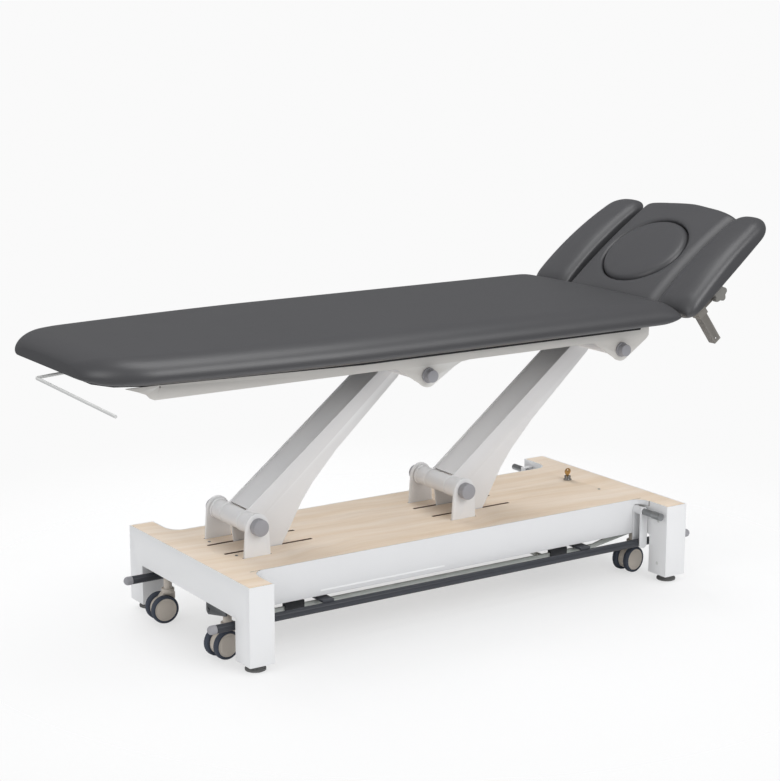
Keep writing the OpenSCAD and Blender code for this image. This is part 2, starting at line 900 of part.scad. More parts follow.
drop_top = 7;
drop_end = 191;
drop_t = 5;
drop_y = 101;
drop_r = 12;
drop_bolt = 3;
drop_low = 14;
drop_z = beam_low - drop_low;

module foot_castor_beam() {
  x0 = beam_x(-1) - beam_w / 2;
  color("#77787a")
    union() {
      castor_beam(-1);
      translate([x0, 0, 0])
        rotate([90, 0, -90])
          linear_extrude(height = drop_t)
            union() {
              polygon([[drop_end, beam_low - drop_top], [drop_end, beam_low + beam_h],
                [drop_y - drop_r, beam_low + beam_h], [drop_y - drop_r, drop_z],
                [drop_y, drop_z - drop_r]]);
              translate([drop_y, drop_z])
                circle(r = drop_r);
            }
      rod_x(-drop_y, drop_z, x0 - drop_t - drop_bolt, x0 - drop_t, bar_tie_dia);
    }
}

module head_castor_beam() {
  color("#77787a")
    castor_beam(1);
}

slope = castor_rise / cam_travel;
cam_z = beam_low + beam_h / 2;
cam_half = 11;

// the bars move towards the foot end; their slots then lift the rollers
module cam_slot(x) {
  r = roller_dia / 2 + slide_fit / 2;
  n = [-slope, 1] / norm([-slope, 1]) * r * 0.96;
  far = [cam_travel, castor_rise];
  translate([x, cam_z])
    union() {
      circle(r = r);
      translate(far)
        circle(r = r);
      polygon([n, far + n, far - n, -n]);
    }
}

function cam_end(x) = [
  [x - cam_half, cam_z - cam_half], [x + cam_travel + cam_half, cam_z - cam_half],
  [x + cam_travel + cam_half, cam_z + castor_rise + cam_half],
  [x + cam_travel - cam_half, cam_z + castor_rise + cam_half], [x - cam_half, cam_z + cam_half]];

module castor_cam_bars() {
  y0 = beam_half + 1;
  foot_x = beam_x(-1) + roller_inset;
  head_x = beam_x(1) - roller_inset;
  foot = cam_end(foot_x);
  head = cam_end(head_x);
  top = cam_bar_z + cam_bar_h;
  color("#7c7d7e")
    union() {
      for (t = [-1, 1])
        plate_y(t > 0 ? y0 : -y0 - cam_bar_t, t > 0 ? y0 + cam_bar_t : -y0)
          difference() {
            polygon([foot[4], foot[0], [bar_foot_x - 10, cam_bar_z], [bar_head_x - 30, cam_bar_z],
              head[0], head[1], head[2], head[3], head[4], [bar_head_x, top],
              [bar_foot_x - 10, top], foot[2], foot[3]]);
            cam_slot(foot_x);
            cam_slot(head_x);
          }
      for (x = bar_tie_places)
        rod_y(x, cam_bar_z + cam_bar_h / 2, -y0 - cam_bar_t / 2, y0 + cam_bar_t / 2,
          bar_tie_dia);
    }
}

bar_tie_places = [-548, 300];
bar_foot_x = -556;
bar_head_x = 476;
bar_tie_dia = 12;
guide_places = [-498, 350];
guide_l = 56;
guide_wall = 5;
hanger_w = 20;

// plastic blocks that the bars slide through, each on a hanger under the deck
module bar_guides() {
  y0 = beam_half + 1 - slide_fit / 2;
  y1 = beam_half + 1 + cam_bar_t + slide_fit / 2;
  z0 = cam_bar_z - slide_fit / 2;
  z1 = cam_bar_z + cam_bar_h + slide_fit / 2;
  color("#26272a")
    for (x = guide_places, t = [-1, 1])
      union() {
        difference() {
          box_at(x - guide_l / 2, x + guide_l / 2, t * (y0 - guide_wall), t * (y1 + guide_wall),
            z0 - guide_wall, z1 + 2 * guide_wall);
          box_at(x - guide_l / 2 - cut, x + guide_l / 2 + cut, t * y0, t * y1, z0, z1);
        }
        box_at(x - hanger_w / 2, x + hanger_w / 2, t * (y0 - guide_wall), t * y1,
          z1 + 2 * guide_wall - cut, deck_low);
      }
}

pedal_x = 180;
pedal_w = 44;
pedal_t = 6;
pedal_out = 305;
pedal_z = 70;
pad_l = 60;

// foot pedal on the far bar, reaching out below the far rail
module castor_pedal() {
  y0 = beam_half + 1 + cam_bar_t;
  color("#3a3b3e")
    union() {
      box_at(pedal_x - pedal_w / 2, pedal_x + pedal_w / 2, y0, y0 + pedal_t,
        pedal_z, cam_bar_z + cam_bar_h);
      box_at(pedal_x - pedal_w / 2, pedal_x + pedal_w / 2, y0, pedal_out, pedal_z,
        pedal_z + pedal_t);
      box_at(pedal_x - pad_l / 2, pedal_x + pad_l / 2, pedal_out - pedal_w, pedal_out,
        pedal_z - pedal_t, pedal_z + 2 * pedal_t);
    }
}

// castors, drawn at the origin of their stem and then placed
module castor_place(i) {
  translate([castor_places[i][0], castor_places[i][1], 0])
    rotate([0, 0, castor_angles[i]])
      children();
}

module housing_body(i) {
  color("#cfc9bd")
    castor_place(i)
      union() {
        translate([0, 0, wheel_dia + 1])
          cylinder(h = head_top - wheel_dia - 1, d = stem_dia);
        translate([0, 0, head_low])
          cylinder(h = head_top - head_low, d = wheel_gap - 2);
        translate([0, 0, head_top])
          cylinder(h = beam_low - head_top - 1, d = swivel_dia);
        translate([0, 0, beam_low - 2])
          cylinder(h = beam_wall + 12, d = pivot_stud);
        plate_y(-wheel_gap / 2 + 1, wheel_gap / 2 - 1)
          union() {
            translate([-castor_trail, wheel_r])
              circle(r = wheel_r - 8);
            polygon([[-castor_trail - 24, wheel_r + 10], [-castor_trail + 20, wheel_r - 10],
              [stem_dia / 2 - 1, head_low], [stem_dia / 2 - 1, head_low + 16],
              [-stem_dia / 2 + 1, head_low + 16]]);
          }
        rod_y(-castor_trail, wheel_r, -wheel_gap / 2 - wheel_width + 2,
          wheel_gap / 2 + wheel_width - 2, axle_dia);
      }
}

module wheel_pair(i) {
  color("#454c5c")
    castor_place(i)
      for (t = [-1, 1])
        difference() {
          rod_y(-castor_trail, wheel_r, t > 0 ? wheel_gap / 2 : -wheel_gap / 2 - wheel_width,
            t > 0 ? wheel_gap / 2 + wheel_width : -wheel_gap / 2, wheel_dia);
          rod_y(-castor_trail, wheel_r, t > 0 ? wheel_gap / 2 - cut : -wheel_gap / 2 - wheel_width + 1.5,
            t > 0 ? wheel_gap / 2 + wheel_width - 1.5 : -wheel_gap / 2 + cut,
            axle_dia + 2 * pin_fit);
        }
}

module foot_body(i) {
  s = castor_places[i][0] > 0 ? 1 : -1;
  t = castor_places[i][1] > 0 ? 1 : -1;
  color("#5a5a5a")
    translate([s * (half_length - leg_x / 2), t * (half_width - leg_y / 2), foot_lift])
      union() {
        cylinder(h = foot_disc, d = foot_dia);
        cylinder(h = leg_gap + foot_nut + foot_stud_top, d = foot_stud);
      }
}

module castor_housing_1() {
  housing_body(0);
}

module castor_housing_2() {
  housing_body(1);
}

module castor_housing_3() {
  housing_body(2);
}

module castor_housing_4() {
  housing_body(3);
}

module castor_wheels_1() {
  wheel_pair(0);
}

module castor_wheels_2() {
  wheel_pair(1);
}

module castor_wheels_3() {
  wheel_pair(2);
}

module castor_wheels_4() {
  wheel_pair(3);
}

module levelling_foot_1() {
  foot_body(0);
}

module levelling_foot_2() {
  foot_body(1);
}

module levelling_foot_3() {
  foot_body(2);
}

module levelling_foot_4() {
  foot_body(3);
}

// lifting arms

// outline of an arm's side plate in the arm's own frame, pivot at the origin
low_edge_shares = [[0.985, 0.072], [0.537, 0.094], [0.354, 0.119], [0.255, 0.145],
  [0.188, 0.171], [0.12, 0.198], [0.065, 0.218]];
top_edge_low = 20;
top_edge_high = 12;
tube_rim = 1.5;       // how far a side plate stands out round the lower tube
collar_step = 2.5;    // how far the end collars of the lower tube stand out
collar_end = 5;
collar_start = 12;
tube_end_gap = 1;     // between the lower tube and an ear
crank_edge = 22;      // degrees, the sides of the crank round its pin
crank_head_edge = 10;
crank_foot_edge = 6;
crank_root_edge = 4;
crank_root_share = 0.55;
crank_nose = 12;

function crank_point(r, a) = [r * cos(a - arm_angle), r * sin(a - arm_angle)];

module arm_side_outline() {
  pin = crank_point(crank_radius, crank_rest);
  union() {
    polygon(concat(
      [[-14, -30], [-22, 6], [-8, top_edge_low], [arm_length + 14, top_edge_high]],
      [[arm_length + 26, -2], [arm_length + 24, -26], [arm_length + 8, -38]],
      [for (p = low_edge_shares) [p[0] * arm_length, -p[1] * arm_length]],
      [crank_point(crank_radius, crank_rest + crank_edge),
        crank_point(crank_radius + crank_nose, crank_rest + crank_head_edge),
        crank_point(crank_radius, crank_rest - crank_foot_edge),
        crank_point(crank_radius * crank_root_share, crank_rest - crank_root_edge)]));
    translate(pin)
      circle(r = crank_pin_dia);
    circle(r = low_tube_dia / 2 + tube_rim);
  }
}

module lifting_arm(x) {
  pin = crank_point(crank_radius, crank_rest);
  inner = arm_half_width - arm_plate;
  arm_place(x)
    difference() {
      union() {
        for (t = [-1, 1])
          plate_y(t > 0 ? inner : -arm_half_width, t > 0 ? arm_half_width : -inner)
            arm_side_outline();
        plate_y(-inner, inner)
          polygon([[26, top_edge_low - 9], [26, top_edge_low - 3],
            [arm_length - 24, top_edge_high - 2], [arm_length - 24, top_edge_high - 8]]);
        plate_y(-inner, inner)
          polygon([[arm_length * 0.36, -arm_length * 0.112], [arm_length * 0.36, -arm_length * 0.1],
            [arm_length - 30, -30], [arm_length - 30, -37],
            [arm_length * 0.537, -arm_length * 0.088]]);
        rod_y(0, 0, -ear_inner + tube_end_gap, ear_inner - tube_end_gap, low_tube_dia);
        for (t = [-1, 1])
          rod_y(0, 0, t > 0 ? ear_inner - collar_start : -ear_inner + collar_end,
            t > 0 ? ear_inner - collar_end : -ear_inner + collar_start,
            low_tube_dia + 2 * collar_step);
        rod_y(pin[0], pin[1], -inner, inner, crank_pin_dia);
        rod_y(arm_length, 0, -up_tube_half, up_tube_half, up_tube_dia);
      }
      rod_y(0, 0, -ear_inner - cut, ear_inner + cut, low_pin_dia + 2 * pin_fit);
      rod_y(arm_length, 0, -up_tube_half - cut, up_tube_half + cut, up_pin_dia + 2 * pin_fit);
    }
}

up_tube_half = frame_half_width - frame_plate - 1;

module foot_arm() {
  color("#dedede")
    lifting_arm(low_pivots[0]);
}

module head_arm() {
  color("#dedede")
    lifting_arm(low_pivots[1]);
}

// linear actuator under the deck, between the chassis anchor and the head arm's crank
crank_world = [low_pivots[1] + crank_radius * cos(crank_rest),
  low_pivot_z + crank_radius * sin(crank_rest)];
actuator_dia = 40;
actuator_tube_end = -5;
actuator_bore_start = cross_foot_x + 100;
rod_bar_dia = 22;
rod_length = 238;
yoke_w = 25;
yoke_half = 12;
yoke_wall = 8;
yoke_top = 30;
yoke_low = 16;
motor_start = 26;
motor_end = 96;
motor_half = 26;
motor_low = 40;
motor_high = 20;

// tube and motor housing; its foot end is cut down to a lug between the anchor plates
module actuator_body() {
  lug = anchor_gap / 2 - slide_fit;
  color("#4a4b4f")
    union() {
      difference() {
        union() {
          rod_x(0, actuator_z, actuator_pin_x - axle_dia, actuator_tube_end, actuator_dia);
          box_at(actuator_pin_x + motor_start, actuator_pin_x + motor_end, -motor_half,
            motor_half, actuator_z - motor_low, actuator_z + motor_high);
        }
        rod_x(0, actuator_z, actuator_bore_start, actuator_tube_end + cut,
          rod_bar_dia + 2 * pin_fit);
        for (t = [-1, 1])
          box_at(actuator_pin_x - actuator_dia, actuator_pin_x + tube_w / 2 + 2, t * lug,
            t * actuator_dia, actuator_z - actuator_dia, actuator_z + actuator_dia);
      }
      rod_y(actuator_pin_x, actuator_z, -anchor_gap / 2 - anchor_t, anchor_gap / 2 + anchor_t,
        axle_dia);
    }
}

// the rod ends in an open yoke, and the crank pin of the head arm runs in its slot
module actuator_rod() {
  x = crank_world[0];
  w = yoke_w / 2;
  low = crank_world[1] - yoke_low;
  color("#b5b6b8")
    union() {
      rod_x(0, actuator_z, x - rod_length, x - w - yoke_wall / 2, rod_bar_dia);
      plate_y(-yoke_half, yoke_half)
        difference() {
          translate([x - w - yoke_wall, low - yoke_wall])
            square([2 * (w + yoke_wall), yoke_low + yoke_top + yoke_wall]);
          translate([x - w, low])
            square([2 * w, yoke_low + yoke_top + cut]);
        }
    }
}

// top frame

dip_r = up_tube_dia / 2 + 12;
dip_half = 84;
dip_step = 28;
plate_foot_x = -955;
plate_head_over = 98;
plate_nose = [[-6, 0], [28, -12]];
plate_hole_dia = 5;
plate_hole_in = 83;
plate_hole_drop = 4.4;
plate_toe = [[48, 15], [57, 5], [68, 0]];
dip_foot_side = [[-28, 0], [-12, -2], [0, -9]];
dip_head_side = [[0, -12], [20, -3], [46, 0]];
plate_heel = [[-9, -6], [0, 4]];
dip_shares = [[-0.75, -0.66], [0.62, -0.78]];
flange_w = 25;
flange_t = 4;
flange_foot_x = -866;
flange_head_over = 90;

module frame_plate_outline() {
  head = up_pivots[1] + plate_head_over;
  union() {
    polygon(concat(
      [for (p = plate_nose) [plate_foot_x + p[0], frame_top + p[1]]],
      [for (p = plate_toe) [plate_foot_x + p[0], frame_low + p[1]]],
      [for (i = [0, 1])
        let (x = up_pivots[i])
        each concat(
          [for (p = dip_foot_side) [x - dip_half + p[0], frame_low + p[1]]],
          [for (p = dip_shares) [x + dip_r * p[0], up_pivot_z + dip_r * p[1]]],
          i == 0 ? [for (p = dip_head_side) [x + dip_half + p[0], frame_low + p[1]]] : [])],
      [for (p = plate_heel) [head + p[0], frame_low + p[1]]],
      [[head, frame_top]]));
    for (x = up_pivots)
      translate([x, up_pivot_z])
        circle(r = dip_r);
  }
}

module frame_plate_body() {
  inner = frame_half_width - frame_plate;
  foot_end = up_pivots[0] - dip_half - dip_step;
  head_start = up_pivots[0] + dip_half + 2 * dip_step;
  difference() {
    union() {
      plate_y(-frame_half_width, -inner)
        frame_plate_outline();
      box_at(flange_foot_x, up_pivots[1] + flange_head_over, -inner, -inner + flange_w,
        frame_top - flange_t, frame_top);
      box_at(flange_foot_x, foot_end, -inner, -inner + flange_w, frame_low, frame_low + flange_t);
      box_at(head_start, up_pivots[1] - dip_half - dip_step, -inner, -inner + flange_w,
        frame_low, frame_low + flange_t);
    }
    for (x = up_pivots)
      rod_y(x, up_pivot_z, -frame_half_width - cut, -inner + cut, up_pin_dia);
    rod_y(plate_foot_x + plate_hole_in, frame_top - plate_hole_drop, -frame_half_width - cut,
      -inner + cut, plate_hole_dia);
  }
}

module near_frame_plate() {
  color("#cdcac5")
    frame_plate_body();
}

module far_frame_plate() {
  color("#cdcac5")
    mirror([0, 1, 0])
      frame_plate_body();
}

cross_tube_places = [-840, -420, 200, 600];
cross_tube_w = 40;

// cross tubes, with the two fixed arms that carry the head hinge
module frame_cross_tubes() {
  inner = frame_half_width - frame_plate;
  low = frame_low + flange_t;
  last = cross_tube_places[len(cross_tube_places) - 1] + cross_tube_w / 2;
  color("#c6c3be")
    difference() {
      union() {
        for (x = cross_tube_places)
          tube_along_y(x, -inner, inner, low, cross_tube_w, frame_top - flange_t - low);
        for (t = [-1, 1])
          plate_y(t > 0 ? hinge_arm_y : -hinge_arm_y - hinge_arm_t,
            t > 0 ? hinge_arm_y + hinge_arm_t : -hinge_arm_y)
            union() {
              translate([hinge_x, hinge_z])
                circle(r = hinge_eye_r);
              polygon([[last, low], [last, frame_top - flange_t],
                [hinge_x, hinge_z + hinge_arm_rise], [hinge_x, hinge_z - hinge_arm_rise]]);
            }
      }
      rod_y(hinge_x, hinge_z, -hinge_arm_y - hinge_arm_t - cut, hinge_arm_y + hinge_arm_t + cut,
        hinge_pin_dia + 2 * pin_fit);
    }
}

up_cap_dia = 40;
up_cap_face = 33;
up_cap_rim = 6;
up_cap_reach = 23;

module upper_pivot_pins() {
  color("#8f9095")
    for (x = up_pivots)
      union() {
        rod_y(x, up_pivot_z, -frame_half_width, frame_half_width, up_pin_dia);
        for (t = [-1, 1]) {
          rod_y(x, up_pivot_z, t > 0 ? frame_half_width : -frame_half_width - up_cap_rim,
            t > 0 ? frame_half_width + up_cap_rim : -frame_half_width, up_cap_dia);
          rod_y(x, up_pivot_z, t > 0 ? frame_half_width + up_cap_rim : -frame_half_width - up_cap_reach,
            t > 0 ? frame_half_width + up_cap_reach : -frame_half_width - up_cap_rim, up_cap_face);
        }
      }
}

// head section

head_tube_end = 330;
head_cross_places = [40, 305];
head_ear_r = 8;
head_ear_reach = 70;
socket_l = 45;
socket_wall = 3;

// two long tubes under the head board, with ears on the hinge pins and sockets
// for the armrest carriers
module head_frame() {
  y0 = hinge_arm_y + hinge_arm_t + 1;
  y1 = hinge_arm_y - 1;
  z0 = head_board_z - head_tube;
  half = post_size / 2;
  color("#8b877f")
    head_place()
      union() {
        for (t = [-1, 1])
          difference() {
            union() {
              box_at(head_tube / 2 + 2, head_tube_end, t * (y1 - head_tube), t * y1, z0,
                head_board_z);
              plate_y(t > 0 ? y0 : -y0 - hinge_arm_t, t > 0 ? y0 + hinge_arm_t : -y0)
                union() {
                  circle(r = head_ear_r);
                  polygon([[0, -head_ear_r], [head_ear_reach, z0],
                    [head_ear_reach, head_board_z], [0, head_ear_r]]);
                }
              box_at(head_ear_reach - 2 * head_tube + 8, head_ear_reach - 4, t * y1,
                t * (y0 + hinge_arm_t), z0, z0 + hinge_arm_t);
            }
            rod_y(0, 0, -y0 - hinge_arm_t - cut, y0 + hinge_arm_t + cut, hinge_pin_dia);
          }
        for (t = [-1, 1])
          rod_y(0, 0, t > 0 ? hinge_arm_y - 2 : -y0 - hinge_arm_t,
            t > 0 ? y0 + hinge_arm_t : -hinge_arm_y + 2, hinge_pin_dia);
        for (x = head_cross_places)
          box_at(x, x + head_tube, head_tube - y1, y1 - head_tube, z0, head_board_z);
        for (t = [-1, 1])
          difference() {
            box_at(carrier_x - half - socket_wall, carrier_x + half + socket_wall, t * y1,
              t * (y1 + socket_l), z0 - socket_wall - slide_fit, head_board_z);
            box_at(carrier_x - half - slide_fit / 2, carrier_x + half + slide_fit / 2,
              t * (y1 - cut), t * (y1 + socket_l + cut), carrier_low - slide_fit,
              carrier_high + slide_fit);
          }
      }
}

function ellipse(a, b, n) = [for (i = [0 : n - 1]) [a * cos(360 * i / n), b * sin(360 * i / n)]];

face_play = 1.5;

board_low_inset = 12;
board_high_inset = 30;
board_inset = 18;
board_chamfer = 34;

module head_board() {
  wide = head_half_width - board_inset;
  high = head_low_x + head_length - board_high_inset;
  color("#2b2b2d")
    head_place()
      difference() {
        translate([0, 0, head_board_z])
          linear_extrude(height = head_board_t - skin_gap)
            polygon([[head_low_x + board_low_inset, -wide], [high - board_chamfer, -wide],
              [high, -head_half_width / 2], [high, head_half_width / 2],
              [high - board_chamfer, wide], [head_low_x + board_low_inset, wide]]);
        translate([face_x, 0, head_board_z - cut])
          linear_extrude(height = head_board_t + 2 * cut)
            polygon(ellipse(face_half_x + face_play, face_half_y + face_play, 48));
      }
}

head_crown = 8;
head_bow = 12;       // rise of a cushion's middle over its two ends
head_end_arc = 30;
head_end_roll = 44;
head_low_dip = 14;
head_low_round = 30;
head_belly_share = 0.38;
head_edge = 16;
head_side_roll = 46;
head_full = head_cushion_height - head_bow - head_crown;

// height that the middle of a head cushion stands above its ends
function bow(k) = 1 - pow(2 * k - 1, 2);

module head_cushion() {
  mid = head_pad_z + head_belly_share * head_full;
  color("#58585a")
    head_place()
      difference() {
        loft([for (k = station_shares)
              let (e = k * head_length, h = head_length - e,
            s = rise(min(e, h), head_end_roll, end_flat),
            w = head_half_width * (h < head_end_arc ? sqrt(max(0.02, h / head_end_arc)) : 1)
              - head_low_dip * (1 - swell(e, head_low_round)))
          [head_low_x + e, 0, w, mid - head_belly_share * head_full * s,
            mid + (1 - head_belly_share) * head_full * s + head_bow * bow(k), head_crown * s,
            head_belly_share, head_edge, head_side_roll]]);
        translate([face_x, 0, head_pad_z - cut])
          linear_extrude(height = 2 * head_cushion_height)
            polygon(ellipse(face_half_x + face_play, face_half_y + face_play, 48));
      }
}

plug_ring_shares = [[0, 0.975], [0.06, 1], [0.72, 1], [0.86, 0.985], [0.95, 0.94], [1, 0.84]];

module face_plug() {
  n = 48;
  z0 = head_board_z;
  h = head_board_t + head_cushion_height - 4;
  rings = [for (r = plug_ring_shares)
    [for (p = ellipse(face_half_x * r[1], face_half_y * r[1], n)) [p[0], p[1], z0 + h * r[0]]]];
  m = len(rings);
  points = concat([for (r = rings) each r], [[0, 0, z0], [0, 0, z0 + h + 2]]);
  sides = [for (i = [0 : m - 2]) for (j = [0 : n - 1])
    let (a = i * n + j, b = i * n + (j + 1) % n)
    each [[a, a + n, b], [b, a + n, b + n]]];
  low = [for (j = [0 : n - 1]) [j, (j + 1) % n, m * n]];
  top = [for (j = [0 : n - 1]) [(m - 1) * n + (j + 1) % n, (m - 1) * n + j, m * n + 1]];
  color("#535355")
    head_place()
      translate([face_x, 0, 0])
        polyhedron(points = points, faces = concat(low, sides, top), convexity = 4);
}

// an armrest on the side t, -1 near and 1 far
arm_low_x = 0;
arm_bow = 21;
arm_end_roll = 54;
arm_tip_round = 56;
arm_low_round = 40;
arm_belly_share = 0.52;
arm_edge = 34;
arm_side_roll = 52;
arm_draw = 30;       // how far the outer side comes in towards the tip

arm_low_dip = 22;
arm_low_inner_dip = 10;
arm_tip_dip = 50;
arm_tip_inner_dip = 30;

module armrest_body(t) {
  mid = head_pad_z + arm_belly_share * head_full;
  head_place()
    loft([for (k = station_shares)
      let (e = k * armrest_length, h = armrest_length - e,
        s = rise(min(e, h), arm_end_roll, arm_end_flat),
        low = 1 - swell(e, arm_low_round), tip = 1 - swell(h, arm_tip_round),
        outer = armrest_outer - arm_draw * pow(k, 2) - arm_low_dip * low - arm_tip_dip * tip,
        inner = armrest_inner + arm_low_inner_dip * low + arm_tip_inner_dip * tip)
      [arm_low_x + e, t * (outer + inner) / 2, (outer - inner) / 2,
        mid - arm_belly_share * head_full * s,
        mid + (1 - arm_belly_share) * head_full * s + arm_bow * bow(k), head_crown * s,
        arm_belly_share, arm_edge, arm_side_roll]]);
}

module near_armrest() {
  color("#5a5a5c")
    armrest_body(-1);
}

module far_armrest() {
  color("#5a5a5c")
    armrest_body(1);
}

arm_board_t = 12;
arm_board_low = 32;
arm_board_l = 270;
arm_board_inner = 40;
arm_board_outer = 279;
post_plate_half = 26;
post_hole_dia = 6;
post_hole_up = 12;

// wooden strip under an armrest, with the square post that it stands on
module armrest_post_body(t) {
  z_low = head_pad_z - arm_board_t;
  half = post_size / 2;
  bore = half - tube_wall;
  head_place()
    union() {
      box_at(arm_board_low, arm_board_low + arm_board_l,
        t * (armrest_inner + arm_board_inner), t * arm_board_outer, z_low,
        head_pad_z - skin_gap);
      box_at(post_x - post_plate_half, post_x + post_plate_half,
        t * (armrest_inner + arm_board_inner), t * (post_y + half + 4), z_low,
        head_pad_z - skin_gap);
      difference() {
        box_at(post_x - half, post_x + half, t * (post_y - half), t * (post_y + half), post_end,
          z_low);
        box_at(post_x - bore, post_x + bore, t * (post_y - bore), t * (post_y + bore),
          post_end - cut, z_low - tube_wall);
        rod_y(post_x, post_end + post_hole_up, t > 0 ? post_y - post_size : -post_y - post_size,
          t > 0 ? post_y + post_size : -post_y + post_size, post_hole_dia);
      }
    }
}

module near_armrest_post() {
  color("#75706a")
    armrest_post_body(-1);
}

module far_armrest_post() {
  color("#75706a")
    armrest_post_body(1);
}

sleeve_wall = 3.5;
sleeve_low = -22;
sleeve_top = 7;
carrier_end = 288;
stud_bore_l = 40;
web_half = 12;

// carrier that slides sideways in its socket and ends in the sleeve of the post
module armrest_carrier_body(t) {
  half = post_size / 2;
  s = half + slide_fit / 2;
  head_place()
    difference() {
      union() {
        box_at(carrier_x - half, carrier_x + half, t * (hinge_arm_y + 1), t * carrier_end,
          carrier_low, carrier_high);
        box_at(post_x + s, carrier_x - half, t * (post_y - web_half), t * (carrier_end - 2),
          sleeve_low + 6, sleeve_top - 3);
        box_at(post_x - s - sleeve_wall, post_x + s + sleeve_wall, t * (post_y - s - sleeve_wall),
          t * (post_y + s + sleeve_wall), sleeve_low, sleeve_top);
      }
      box_at(post_x - s, post_x + s, t * (post_y - s), t * (post_y + s), sleeve_low - cut,
        sleeve_top + cut);
      rod_y(carrier_x, carrier_z, t > 0 ? carrier_end - stud_bore_l : -carrier_end - cut,
        t > 0 ? carrier_end + cut : -carrier_end + stud_bore_l, knob_stud + 2 * pin_fit);
    }
}

module near_armrest_carrier() {
  color("#75706a")
    armrest_carrier_body(-1);
}

module far_armrest_carrier() {
  color("#75706a")
    armrest_carrier_body(1);
}

knob_stud = 8;
knob_stud_l = 34;
knob_lobes = 5;
knob_r = 17;
lobe_r = 9.5;
knob_t = 18;

module knob_body(t) {
  face = carrier_end + 1;
  head_place()
    union() {
      plate_y(t > 0 ? face : -face - knob_t, t > 0 ? face + knob_t : -face)
        translate([carrier_x, carrier_z])
          union() {
            circle(r = knob_r);
            for (i = [0 : knob_lobes - 1])
              rotate(360 * i / knob_lobes + 54)
                translate([knob_r, 0])
                  circle(r = lobe_r);
          }
      rod_y(carrier_x, carrier_z, t > 0 ? carrier_end - knob_stud_l : -face,
        t > 0 ? face : -carrier_end + knob_stud_l, knob_stud);
    }
}

module near_knob() {
  color("#7f7f7a")
    knob_body(-1);
}

module far_knob() {
  color("#7f7f7a")
    knob_body(1);
}

foot_portal();
head_portal();
near_skirt();
far_skirt();
deck();
chassis();
pivot_ears();
lower_pivot_pins();
deck_screws();
control_box();
power_inlet();
key_barrel();
key();
foot_arm();
head_arm();
actuator_body();
actuator_rod();
near_frame_plate();
far_frame_plate();
frame_cross_tubes();
upper_pivot_pins();
main_board();
main_cushion();
roll_rod();
head_frame();
head_board();
head_cushion();
face_plug();
near_armrest();
near_armrest_post();
near_armrest_carrier();
near_knob();
far_armrest();
far_armrest_post();
far_armrest_carrier();
far_knob();
rail_shafts();
foot_rail_lever();
head_rail_lever();
foot_rails();
rail_caps();
rail_cross_pieces();
foot_castor_beam();
head_castor_beam();
castor_cam_bars();
bar_guides();
castor_pedal();
leg_screws();
castor_housing_1();
castor_housing_2();
castor_housing_3();
castor_housing_4();
castor_wheels_1();
castor_wheels_2();
castor_wheels_3();
castor_wheels_4();
levelling_foot_1();
levelling_foot_2();
levelling_foot_3();
levelling_foot_4();
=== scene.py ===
import json
import math
import bmesh
import bpy
import numpy as np
from mathutils import Matrix, Vector


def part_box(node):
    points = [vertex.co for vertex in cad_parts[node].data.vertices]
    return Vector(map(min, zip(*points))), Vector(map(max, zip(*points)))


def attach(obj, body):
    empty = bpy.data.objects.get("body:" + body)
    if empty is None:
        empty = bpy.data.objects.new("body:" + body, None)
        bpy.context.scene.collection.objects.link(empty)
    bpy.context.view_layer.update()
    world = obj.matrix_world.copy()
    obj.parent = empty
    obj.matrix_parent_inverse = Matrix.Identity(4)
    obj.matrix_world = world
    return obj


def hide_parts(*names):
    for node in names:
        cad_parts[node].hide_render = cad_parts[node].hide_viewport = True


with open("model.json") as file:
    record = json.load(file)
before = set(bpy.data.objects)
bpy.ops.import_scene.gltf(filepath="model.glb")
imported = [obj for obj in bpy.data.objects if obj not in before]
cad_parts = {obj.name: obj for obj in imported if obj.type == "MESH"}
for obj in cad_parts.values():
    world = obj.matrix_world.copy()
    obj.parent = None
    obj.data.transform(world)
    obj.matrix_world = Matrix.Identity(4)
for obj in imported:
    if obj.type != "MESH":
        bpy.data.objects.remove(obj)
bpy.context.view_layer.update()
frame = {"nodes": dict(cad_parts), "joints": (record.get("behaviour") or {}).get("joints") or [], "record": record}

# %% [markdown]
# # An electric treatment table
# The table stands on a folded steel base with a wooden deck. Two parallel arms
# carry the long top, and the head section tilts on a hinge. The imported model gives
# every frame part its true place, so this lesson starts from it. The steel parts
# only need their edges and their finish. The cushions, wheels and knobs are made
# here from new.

nodes = frame["nodes"]


def lin(code):
    """The linear colour of a screen colour such as 5c5c5e."""
    parts = [int(code[i:i + 2], 16) / 255 for i in (0, 2, 4)]
    dark = [p / 12.92 for p in parts]
    pale = [((p + 0.055) / 1.055) ** 2.4 for p in parts]
    return [d if p <= 0.04045 else q for p, d, q in zip(parts, dark, pale)] + [1]


# %% [markdown]
# ## The camera
# The photograph was taken with a long lens from the foot end, a little above the
# top. The three directions of the view were measured from the straight edges of
# the base. A matrix takes them as its columns, which keeps the camera exact.

# %% Camera
right = Vector((0.834759, -0.550613, 0.001857))
up = Vector((0.114558, 0.176973, 0.977526))
ahead = Vector((0.538567, 0.815786, -0.210807))
place = Vector((-2.84357, -4.18771, 1.66222))
lens = bpy.data.cameras.new("photo_camera")
FILM_WIDTH, FOCAL_LENGTH = 36, 88.40
lens.sensor_width = FILM_WIDTH
lens.sensor_fit = "HORIZONTAL"
lens.lens = FOCAL_LENGTH
camera = bpy.data.objects.new("photo_camera", lens)
camera.matrix_world = Matrix((
    (right.x, up.x, -ahead.x, place.x),
    (right.y, up.y, -ahead.y, place.y),
    (right.z, up.z, -ahead.z, place.z),
    (0, 0, 0, 1)))
bpy.context.scene.collection.objects.link(camera)
bpy.context.scene.camera = camera
print("camera", round((place - Vector((0, 0, 0.5))).length, 2), "m from the table")

